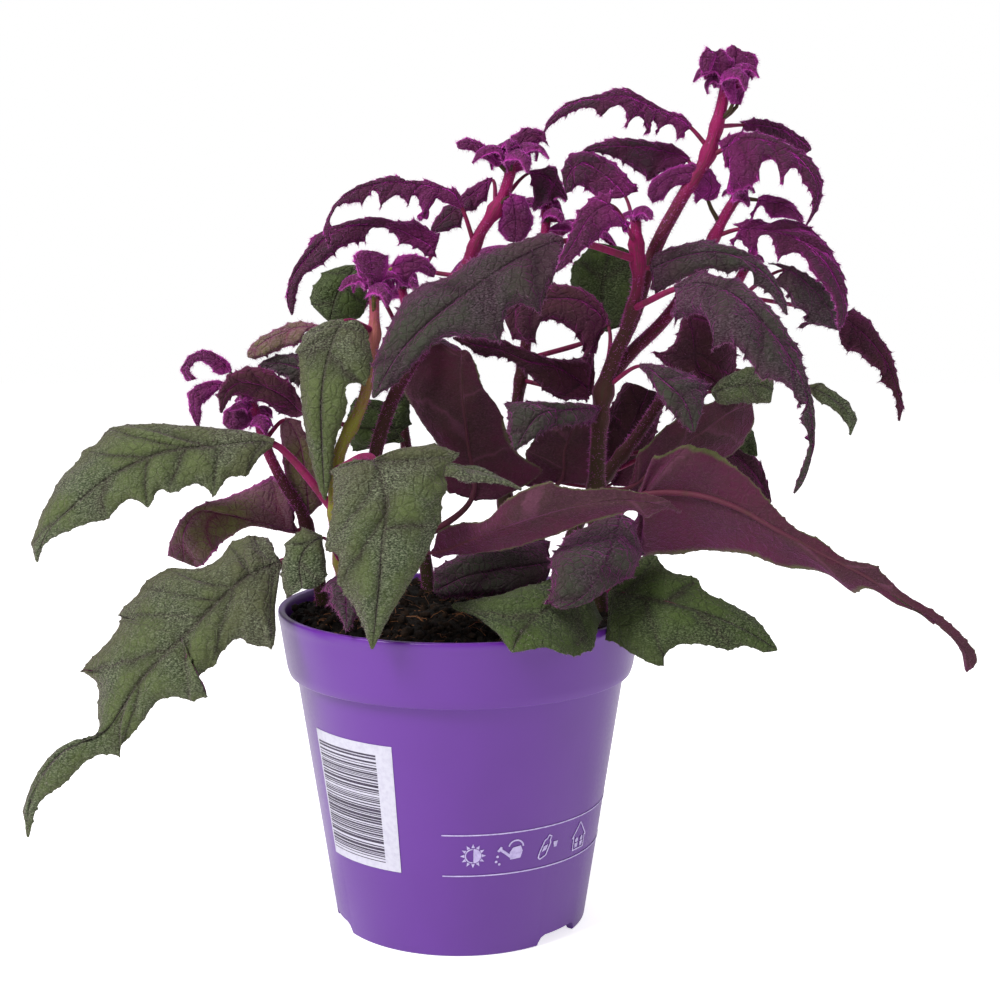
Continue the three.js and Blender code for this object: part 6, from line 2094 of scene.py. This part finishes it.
@dataclass
class PotPrint:
    """The paper label with plain bars, and the care band of two lines and four small pictures."""

    pot: Pot
    label_bearings: Pair = (-150.6, -112.8)
    label_heights: Pair = (29.0, 72.7)
    label_border: float = 2.6
    bar_margins: Pair = (1.0, 6.6)
    last_bar: float = 1.2
    bar_widths: tuple[float, ...] = (0.26, 0.42, 0.62, 0.9)
    bar_shares: tuple[float, ...] = (0.4, 0.3, 0.2, 0.1)
    gap_widths: tuple[float, ...] = (0.24, 0.36, 0.55, 0.8)
    gap_shares: tuple[float, ...] = (0.35, 0.35, 0.2, 0.1)
    bar_lift: float = 0.03
    band_bearings: Pair = (-96.0, 24.0)
    band_heights: Pair = (29.1, 43.4)
    line_width: float = 0.42
    lift: float = 0.12
    band_lift: float = 0.7  # as a share of the label's
    picture_scale: float = 1.35
    column_angle: float = 1.5
    line_step: float = 0.8

    def _on_wall(self, bearing: Array, height: Array, lift: float) -> Array:
        """Lays places on the pot's wall.

        Args:
            bearing: Their bearings.
            height: Their heights.
            lift: How far they stand off the wall.

        Returns:
            The points.
        """
        radius = self.pot.wall_radius(height) + lift
        turn = np.radians(bearing)
        return np.stack([radius * np.cos(turn), radius * np.sin(turn), height], -1)

    def _patch(self, form: Form, bearings: Pair, heights: Pair, lift: float, slot: int = 0) -> None:
        """Adds a patch of the wall's own curve.

        Args:
            form: The mesh to add to.
            bearings: The patch's first and last bearing.
            heights: Its lowest and highest place.
            lift: How far it stands off the wall.
            slot: Its material slot.
        """
        columns = max(2, int(abs(bearings[1] - bearings[0]) / self.column_angle) + 1)
        spread = np.linspace(*bearings, columns)
        height, bearing = np.meshgrid(np.array(heights), spread, indexing="ij")
        outer, inner = (self._on_wall(bearing, height, off) for off in (lift, 0.0))
        form.add(outer, grid_faces(2, columns)[:, ::-1], slot)
        row, column = np.repeat([0, 1], columns), np.arange(columns)
        column = np.concatenate([column, column[::-1]])
        ring = np.stack([outer[row, column], inner[row, column]])
        form.add(ring, grid_faces(2, len(row), is_closed=True), slot)

    def label(self, finishes: list[Material]) -> Object:
        """Makes the label and its plain bars of seeded widths.

        Args:
            finishes: The paper and the ink.

        Returns:
            The label.
        """
        form, random = Form(), seeded("label_bars")
        self._patch(form, self.label_bearings, self.label_heights, self.lift)
        (start, end), (low, high) = self.label_bearings, self.label_heights
        bearings = (start + self.bar_margins[0], end - self.bar_margins[1])
        height = low + self.label_border
        while height < high - self.label_border - self.last_bar:
            width = float(random.choice(self.bar_widths, p=self.bar_shares))
            self._patch(form, bearings, (height, height + width), self.lift + self.bar_lift, 1)
            height += width + float(random.choice(self.gap_widths, p=self.gap_shares))
        return form.piece("pot_label", finishes, is_smooth=False)

    def _from_flat(self, flat: Array, picture: Picture) -> Array:
        """Lays spots of a picture on the wall.

        Args:
            flat: The spots, right and up from the picture's middle.
            picture: The picture.

        Returns:
            The points.
        """
        flat = flat * self.picture_scale
        turn = np.degrees(flat[:, 0] / self.pot.wall_radius(picture.height))
        height = picture.height + flat[:, 1]
        return self._on_wall(picture.bearing + turn, height, self.lift * self.band_lift)

    def _draw(self, form: Form, picture: Picture) -> None:
        """Adds a picture, each fill as a fan from its middle and each line as a ribbon.

        Args:
            form: The mesh to add to.
            picture: The picture.
        """
        for outline in picture.fills:
            rim = np.array(outline, float)
            fan = np.vstack([rim, rim.mean(0)])
            form.add(self._from_flat(fan, picture), fan_faces(len(rim)))
        for width, spots in picture.lines:
            line = np.array(spots, float)
            reach = travelled(line)
            count = max(2, int(reach[-1] / self.line_step) + 1)
            along = np.unique(np.concatenate([np.linspace(0, reach[-1], count), reach]))
            line = np.stack([np.interp(along, reach, axis) for axis in line.T], -1)
            ahead = unit(np.gradient(line, axis=0))
            beside = np.stack([-ahead[:, 1], ahead[:, 0]], -1) * width / 2
            both = np.vstack([line - beside, line + beside])
            form.add(self._from_flat(both, picture), grid_faces(2, len(line)))

    def band(self, finishes: list[Material]) -> Object:
        """Makes the care band's two lines and its small pictures.

        Args:
            finishes: The ink.

        Returns:
            The band.
        """
        form, half, lift = Form(), self.line_width / 2, self.lift * self.band_lift
        for height in self.band_heights:
            self._patch(form, self.band_bearings, (height - half, height + half), lift)
        for picture in (SUN, CAN, BOTTLE, HOUSE):
            self._draw(form, picture)
        return form.piece("care_band", finishes, is_smooth=False)


GOLDEN = (1 + 5**0.5) / 2
CRUMB_CORNERS = np.array([
    (-1, GOLDEN, 0), (1, GOLDEN, 0), (-1, -GOLDEN, 0), (1, -GOLDEN, 0),
    (0, -1, GOLDEN), (0, 1, GOLDEN), (0, -1, -GOLDEN), (0, 1, -GOLDEN),
    (GOLDEN, 0, -1), (GOLDEN, 0, 1), (-GOLDEN, 0, -1), (-GOLDEN, 0, 1),
]) / 1.9
CRUMB_FACES = np.array([
    (0, 11, 5), (0, 5, 1), (0, 1, 7), (0, 7, 10), (0, 10, 11), (1, 5, 9), (5, 11, 4),
    (11, 10, 2), (10, 7, 6), (7, 1, 8), (3, 9, 4), (3, 4, 2), (3, 2, 6), (3, 6, 8),
    (3, 8, 9), (4, 9, 5), (2, 4, 11), (6, 2, 10), (8, 6, 7), (9, 8, 1),
])


@dataclass
class Soil:
    """The peat that fills the pot, with loose crumbs and fibres on it."""

    pot: Pot
    edge_height: float = 105.5
    edge_inset: float = 3.8
    bare_edge: float = 1.5
    crown: float = 3.0
    waves: float = 0.6
    wave_turns: Point = (0.31, 0.27, 0.19)  # radians to a millimetre
    wave_lag: float = 1.3
    roughness: float = 1.5
    rough_scale: float = 0.14
    rough_layer: float = 3.0
    rough_detail: tuple[float, float, int] = (0.6, 2.1, 5)
    gap: float = 0.3
    middle: float = 0.2
    edge_width: float = 4.0
    sides: int = 132
    rings: int = 34
    crumb_count: int = 1500
    crumb_sizes: Pair = (0.45, 1.5)
    crumb_spread: Pair = (0.7, 1.3)
    crumb_lift: float = 0.25
    fibre_count: int = 260
    fibre_lengths: Pair = (3.0, 11.0)
    fibre_bend: float = 0.5
    fibre_steps: int = 6
    fibre_radius: float = 0.16
    fibre_taper: float = 0.6
    fibre_sides: int = 4
    fibre_lift: float = 0.3
    fibre_arch: float = 1.2

    @property
    def edge_radius(self) -> float:
        """Gives the radius of the bed's top edge."""
        return self.pot.rim_radius - self.edge_inset

    def surface(self, x: Array, y: Array) -> Array:
        """Finds the height of the bed's top.

        Args:
            x: Places along X.
            y: Places along Y.

        Returns:
            The height at each place.
        """
        first, second, third = self.wave_turns
        waves = np.sin(x * first + self.wave_lag) * np.cos(y * second) + np.sin((x - y) * third)
        fall = 1 - (x * x + y * y) / self.pot.rim_radius**2
        spots = np.stack([np.ravel(x), np.ravel(y)], -1) * self.rough_scale
        spots = [Vector((*spot, self.rough_layer)) for spot in spots]
        rough = [noise.fractal(spot, *self.rough_detail) for spot in spots]
        rough = np.reshape(rough, np.shape(x)) * self.roughness
        return self.edge_height + self.crown * fall + self.waves * waves + rough

    def bed(self, finishes: list[Material]) -> Object:
        """Makes the closed bed.

        Args:
            finishes: The peat.

        Returns:
            The bed.
        """
        pot, edge, middle = self.pot, self.edge_radius, self.middle
        base, clear = pot.height - pot.collar_height, pot.wall + self.gap
        floor = pot.floor_rise + clear
        section = [
            (edge + 0.2, self.edge_height - 1.4), (pot.collar_lower_radius - 2, base + 3),
            (pot.body_top_radius - clear - 0.5, base - 2), (pot.foot_radius - clear - 1.6, floor),
            (middle, floor),
        ]
        radius = np.linspace(middle, edge, self.rings)[:, None]
        flat = circle(self.sides) * radius[..., None]
        fade = smooth((edge - radius) / self.edge_width)
        height = self.surface(flat[..., 0], flat[..., 1]) * fade
        height = height + (self.edge_height - 0.4) * (1 - fade)
        top = np.concatenate([flat, height[..., None]], -1)
        rings = np.concatenate([top, turned(np.array(section), self.sides)])
        return closed_prism(rings).piece("soil_bed", finishes)

    def _scatter(self, random: Generator, count: int) -> Array:
        """Picks places on the bed's top.

        Args:
            random: The run of random numbers to draw from.
            count: How many places.

        Returns:
            The points.
        """
        radius = (self.edge_radius - self.bare_edge) * np.sqrt(random.uniform(0, 1, count))
        turn = random.uniform(0, 2 * np.pi, count)
        x, y = radius * np.cos(turn), radius * np.sin(turn)
        return np.stack([x, y, self.surface(x, y)], -1)

    def crumbs(self, finishes: list[Material]) -> Object:
        """Makes the loose lumps that lie on the bed.

        Args:
            finishes: The peat of the crumbs.

        Returns:
            The crumbs.
        """
        random, count, corners = seeded("soil_crumbs"), self.crumb_count, len(CRUMB_CORNERS)
        middle = self._scatter(random, count)
        least, more = self.crumb_sizes
        size = (least + more * random.uniform(0, 1, count) ** 3)[:, None, None]
        shape = CRUMB_CORNERS * random.uniform(*self.crumb_spread, (count, corners, 1))
        shape = shape * random.uniform(*self.crumb_spread, (count, 1, 3)) * size
        faces = np.arange(count)[:, None, None] * corners + CRUMB_FACES
        form = Form()
        form.add(middle[:, None] + shape + UP * self.crumb_lift * size, faces.reshape(-1, 3))
        return form.piece("soil_crumbs", finishes)

    def fibres(self, finishes: list[Material]) -> Object:
        """Makes the dry fibres that lie in the peat.

        Args:
            finishes: The fibres' finish.

        Returns:
            The fibres.
        """
        form, random = Form(), seeded("soil_fibres")
        share = np.linspace(0, 1, self.fibre_steps)
        for root in self._scatter(random, self.fibre_count):
            length, turn = random.uniform(*self.fibre_lengths), random.uniform(0, 2 * np.pi)
            heading = turn + random.normal(0, self.fibre_bend) * share * 2
            step = np.stack([np.cos(heading), np.sin(heading)], -1) * length / (len(share) - 1)
            flat = root[:2] + np.vstack([[0, 0], np.cumsum(step[1:], 0)])
            if np.max(lengths(flat)) > self.edge_radius - 1:
                continue
            arch = self.fibre_arch * np.sin(np.pi * share) * random.uniform(0, 1)
            height = self.surface(flat[:, 0], flat[:, 1]) + self.fibre_lift + arch
            line = np.column_stack([flat, height])
            radii = self.fibre_radius * (1 - self.fibre_taper * share)
            ahead = unit(np.gradient(line, axis=0))
            form.add(*tube(line, ahead, radii, self.fibre_sides, UP))
        return form.piece("soil_fibres", finishes)


@dataclass
class Stems:
    """The leafy stems with the young leaves of their tips."""

    shoots: dict[str, Shoot]
    sprigs: tuple[Leaf, ...]
    leaves: dict[str, Leaf]
    sides: int = 14
    step: float = 1.6
    least_rings: int = 8
    branch_foot: float = 0.55
    joint_swell: float = 0.28
    joint_length: float = 2.6
    ridges: float = 0.05
    ridge_count: int = 5
    ridge_twist: float = 2.4
    unevenness: float = 0.02
    tip_closing: float = 0.15
    tip_bearing: float = -70.0
    golden_angle: float = 137.5
    tip_widths: Pair = (0.7, 0.3)  # the youngest leaf's share, and what age adds
    tip_lengths: Pair = (0.55, 0.45)
    tip_rise: float = 18.0
    tip_top: float = 0.99
    bud_leaves: int = 5
    bud_size: float = 0.55
    bud_turn: float = 60.0
    bud_rise: float = 85.0
    bud_droop: float = 35.0
    bud_top: float = 0.995
    bud_step: float = 0.004
    young_hairs: float = 1.5
    hair: float = 0.06
    hair_gap: float = 0.06
    hair_lengths: Pair = (0.5, 1.5)
    hair_stray: float = 0.35
    bare_foot: float = 0.06

    def _bark(self, form: Form, label: str, foot: float, random: Generator) -> Route:
        """Adds the round bark of a stem or a branch, swollen a little where leaves join.

        Args:
            form: The piece's mesh.
            label: The stem or the branch.
            foot: Where its own finish starts, as a share of the whole stem's.
            random: The run of random numbers to draw from.

        Returns:
            Its curve.
        """
        shoot = self.shoots[label]
        route = shoot.path
        count = max(self.least_rings, int(route.length / self.step))
        share, turn = np.linspace(0, 1, count), np.arange(self.sides) / self.sides
        radius = self._radii(label, share)
        for leaf in self.leaves.values():
            if leaf.stem == label:
                past = (share - route.share_at_height(leaf.height)) * route.length
                swell = np.exp(-((past / self.joint_length) ** 2))
                radius = radius * (1 + self.joint_swell * swell)
        angle = 2 * np.pi * self.ridge_count * turn + self.ridge_twist * share[:, None]
        uneven = self.unevenness * random.standard_normal((count, self.sides))
        radii = radius[:, None] * (1 + self.ridges * np.cos(angle) + uneven)
        radii[-1] *= self.tip_closing
        points, faces = tube(route.at(share), route.ahead(share), radii, self.sides, ACROSS)
        where = np.repeat(foot + (1 - foot) * share, self.sides)
        form.add(points, faces, 0, np.stack([where, np.tile(turn, count)], -1))
        return route

    def _radii(self, label: str, share: Array) -> Array:
        """Gives the plain radius of a stem or a branch at shares of its length."""
        first, last = self.shoots[label].radii
        return first + (last - first) * share

    def _tip_leaves(self, label: str, route: Route) -> list[tuple[Leaf, Array]]:
        """Lists the small leaves of a tip, each a golden turn on from the last, then its sprigs.

        Args:
            label: The stem or the branch.
            route: Its curve.

        Returns:
            Each leaf, with the point that it grows from.
        """
        tip, found = self.shoots[label].tip, []
        for i in range(tip.count):
            age = 1 - i / tip.count
            wide, long = (low + more * age for low, more in (self.tip_widths, self.tip_lengths))
            leaf = young(
                label, 0, teeth=1, azimuth=self.tip_bearing + i * self.golden_angle,
                width=tip.width * wide, length=tip.length * long,
                rise=tip.rise + self.tip_rise * (1 - age), droop=tip.droop,
            )
            found.append((leaf, route.at(tip.low + (self.tip_top - tip.low) * (1 - age))))
        for i in range(self.bud_leaves):
            curled = young(
                label, 0, teeth=1, width=tip.width * self.bud_size, rise=self.bud_rise,
                azimuth=self.tip_bearing + self.bud_turn + i * self.golden_angle,
                length=tip.length * self.bud_size, droop=tip.droop + self.bud_droop,
            )
            found.append((curled, route.at(self.bud_top - self.bud_step * i)))
        side = [sprig for sprig in self.sprigs if sprig.stem == label]
        return found + [(sprig, route.at_height(sprig.height)) for sprig in side]

    def build(self, name: str, finishes: list[Material]) -> tuple[Object, Form]:
        """Makes one stem with its branches and young leaves.

        Args:
            name: The stem.
            finishes: The bark, then a young leaf's upper and under face.

        Returns:
            The stem, and the hairs that grow on it.
        """
        form, fuzz, bare = Form(), Form(), []
        for label in [name, *(branch for branch in self.shoots if branch.startswith(name + "."))]:
            random = seeded(label)
            route = self._bark(form, label, 0.0 if label == name else self.branch_foot, random)
            for i, (leaf, start) in enumerate(self._tip_leaves(label, route)):
                blade = Blade(leaf, start, f"{label}_young_{i}", YOUNG)
                blade.grow(form, (1, 2, 0))
                fuzz.add(*blade.hairs(self.young_hairs))
            bare.append((label, route, random))
        for label, route, random in bare:
            fuzz.add(*self._stem_hairs(label, route, random))
        return form.piece(f"shoot_{name}", finishes), fuzz

    def _stem_hairs(self, label: str, route: Route, random: Generator) -> tuple[Array, Array]:
        """Grows the dense short hairs of a stem or a branch.

        Args:
            label: The stem or the branch.
            route: Its curve.
            random: The run of random numbers to draw from.

        Returns:
            The vertices and the three-cornered faces.
        """
        count, hairs = int(route.length / self.hair_gap), Hairs(self.hair)
        share = random.uniform(self.bare_foot, 1, count)
        centre, ahead = route.at(share), route.ahead(share)
        away = random.standard_normal((count, 3))
        away = unit(away - ahead * np.sum(away * ahead, 1)[:, None])
        lean = unit(away + self.hair_stray * random.standard_normal((count, 3)))
        root = centre + away * self._radii(label, share)[:, None]
        hairs.sow(root, lean, random.uniform(*self.hair_lengths, count))
        return hairs.tufts()


@dataclass(frozen=True)
class Lamp:
    """A large soft square light, with its place and its side in metres and its power in watts."""

    name: str
    place: Point
    side: float
    power: float

    def hang(self, target: Point) -> None:
        """Hangs the light.

        Args:
            target: The place that it looks at, in metres.
        """
        light = bpy.data.lights.new(self.name, "AREA")
        light.shape, light.size, light.energy = "SQUARE", self.side, self.power
        made = stand(self.name, light)
        made.location = self.place
        ahead = Vector(target) - Vector(self.place)
        made.rotation_euler = ahead.to_track_quat("-Z", "Y").to_euler()


@dataclass(frozen=True)
class Studio:
    """The camera, the pale floor and the soft lights."""

    sky: float = 0.34
    glow: float = 0.7
    glow_cast: float = 0.3
    floor_reach: float = 2500.0
    floor_steps: int = 9
    floor_drop: float = 0.05
    floor_greys: Pair = (0.93, 0.95)
    floor_scale: float = 3.0
    floor_roughness: float = 0.9
    clip: Pair = (0.01, 20.0)
    target: Point = (0.0, 0.0, 0.15)
    lamps: tuple[Lamp, ...] = (
        Lamp("key_light", (-0.7, -0.6, 1.1), 0.55, 19.0),
        Lamp("fill_light", (0.9, -0.7, 0.6), 1.2, 1.5),
        Lamp("back_light", (0.1, 0.9, 1.1), 1.2, 4.0),
    )

    def set_up(self) -> None:
        """Places everything that isn't the plant."""
        scene = bpy.context.scene
        scene.view_settings.view_transform = "Standard"
        lens = bpy.data.cameras.new("photo_camera")
        lens.lens, lens.sensor_width = VIEW.lens, VIEW.film
        lens.clip_start, lens.clip_end = self.clip
        camera = stand("photo_camera", lens)
        camera.location = Vector(VIEW.eye) * MM
        camera.rotation_euler = (math.radians(90 - VIEW.pitch), 0.0, 0.0)
        scene.camera = camera
        self._sky(scene)
        self._floor()
        for lamp in self.lamps:
            lamp.hang(self.target)

    def _sky(self, scene: bpy.types.Scene) -> None:
        """Surrounds the scene with even white light, softer on the plant than behind it.

        Args:
            scene: The scene.
        """
        world = bpy.data.worlds.new("soft_white")
        scene.world = world
        world.use_nodes = True
        wires = Wiring(world.node_tree)
        bare = wires.node("LightPath").outputs["Is Camera Ray"]
        back = world.node_tree.nodes["Background"]
        back.inputs[0].default_value = WHITE
        strength = wires.maths("MULTIPLY_ADD", bare, 1.0 - self.sky, self.sky)
        wires.tree.links.new(strength, back.inputs[1])

    def _floor(self) -> None:
        """Lays the pale floor, which glows a little to the camera."""
        form, count = Form(), self.floor_steps
        edge = np.linspace(-self.floor_reach, self.floor_reach, count)
        y, x = np.meshgrid(edge, edge, indexing="ij")
        points = np.stack([x, y, np.full_like(x, -self.floor_drop)], -1)
        form.add(points, grid_faces(count, count)[:, ::-1])
        made, wires = Wiring.of_material("pale_floor")
        darker, paler = ((grey, grey, grey, 1.0) for grey in self.floor_greys)
        seen = wires.node("LightPath").outputs["Is Camera Ray"]
        wires.shade({
            "Base Color": wires.mix(wires.clouds(self.floor_scale), darker, paler),
            "Roughness": self.floor_roughness,
            "Emission Color": WHITE,
            "Emission Strength": wires.maths(
                "MULTIPLY_ADD", seen, self.glow - self.glow_cast, self.glow_cast
            ),
        })
        form.piece("floor", [made])


class Plant:
    """The whole potted plant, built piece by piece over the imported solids."""

    def __init__(self) -> None:
        """Prepares the finishes."""
        effects = LeafEffects()
        self.leaf_finishes = {key: look.material(effects) for key, look in LEAF_FINISHES.items()}
        self.stem_finishes = {key: look.material() for key, look in STEM_FINISHES.items()}
        self.plain_finishes = {key: look.material() for key, look in PLAIN_FINISHES.items()}
        self.pot = Pot()
        self.stems = Stems(SHOOTS, SPRIGS, LEAVES)

    @staticmethod
    def _set_on(piece: Object, slot: Slot | Kind, node: str | None = None) -> None:
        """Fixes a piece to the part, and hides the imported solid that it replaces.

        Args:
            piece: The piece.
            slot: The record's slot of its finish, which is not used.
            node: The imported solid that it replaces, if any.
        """
        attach(piece, BODY)
        if node:
            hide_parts(node)
        LOG.info("%s: %d faces", piece.name, len(piece.data.polygons))

    def build_pot(self) -> None:
        """Makes the pot and what is printed on it."""
        plain, marks = self.plain_finishes, PotPrint(self.pot)
        self._set_on(self.pot.build(plain["plastic"]), Slot.POT, "pot")
        self._set_on(marks.label([plain["paper"], plain["ink"]]), Slot.POT)
        self._set_on(marks.band([plain["pale_ink"]]), Slot.POT)

    def build_soil(self) -> None:
        """Makes the peat bed and what lies on it."""
        soil, plain = Soil(self.pot), self.plain_finishes
        self._set_on(soil.bed([plain["peat"]]), Slot.SOIL, "soil")
        self._set_on(soil.crumbs([plain["crumbs"]]), Slot.SOIL)
        self._set_on(soil.fibres([plain["fibres"]]), Slot.SOIL)

    def build_stems(self) -> None:
        """Makes each stem, its young leaves and its hairs."""
        faces = [self.leaf_finishes["young_top"], self.leaf_finishes["young_under"]]
        hair = self.plain_finishes["young_hairs"]
        for name in (label for label in SHOOTS if "." not in label):
            bark = self.stem_finishes.get(name, self.stem_finishes["usual"])
            piece, fuzz = self.stems.build(name, [bark, *faces])
            self._set_on(piece, Slot.STEM, f"stem_{name}")
            self._set_on(fuzz.piece(f"hairs_shoot_{name}", [hair]), Slot.STEM)

    def build_leaves(self) -> None:
        """Makes each large leaf and its hairs."""
        for name, leaf in LEAVES.items():
            start = SHOOTS[leaf.stem].path.at_height(leaf.height)
            blade, form, fuzz = Blade(leaf, start, name), Form(), Form()
            blade.grow(form, (0, 1, 2))
            kind = leaf.kind.name.lower()
            faces = LOOKS.get(name, (f"{kind}_top", f"{kind}_under"))
            stalk = "soft_stalk" if leaf.kind is Kind.UNDERSIDE else "stalk"
            finishes = [*(self.leaf_finishes[face] for face in faces), self.stem_finishes[stalk]]
            self._set_on(form.piece(f"blade_{name}", finishes), leaf.kind, f"leaf_{name}")
            fuzz.add(*blade.hairs(1.0))
            hair = "young_hairs" if name in VELVET_LEAVES else HAIR_OF[leaf.kind]
            self._set_on(fuzz.piece(f"hairs_{name}", [self.plain_finishes[hair]]), leaf.kind)


def main() -> None:
    """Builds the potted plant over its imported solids, piece by piece."""
    logging.basicConfig(level=logging.INFO, format="%(message)s")
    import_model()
    Studio().set_up()
    plant = Plant()
    plant.build_pot()
    plant.build_soil()
    plant.build_stems()
    plant.build_leaves()


if __name__ == "__main__":
    main()
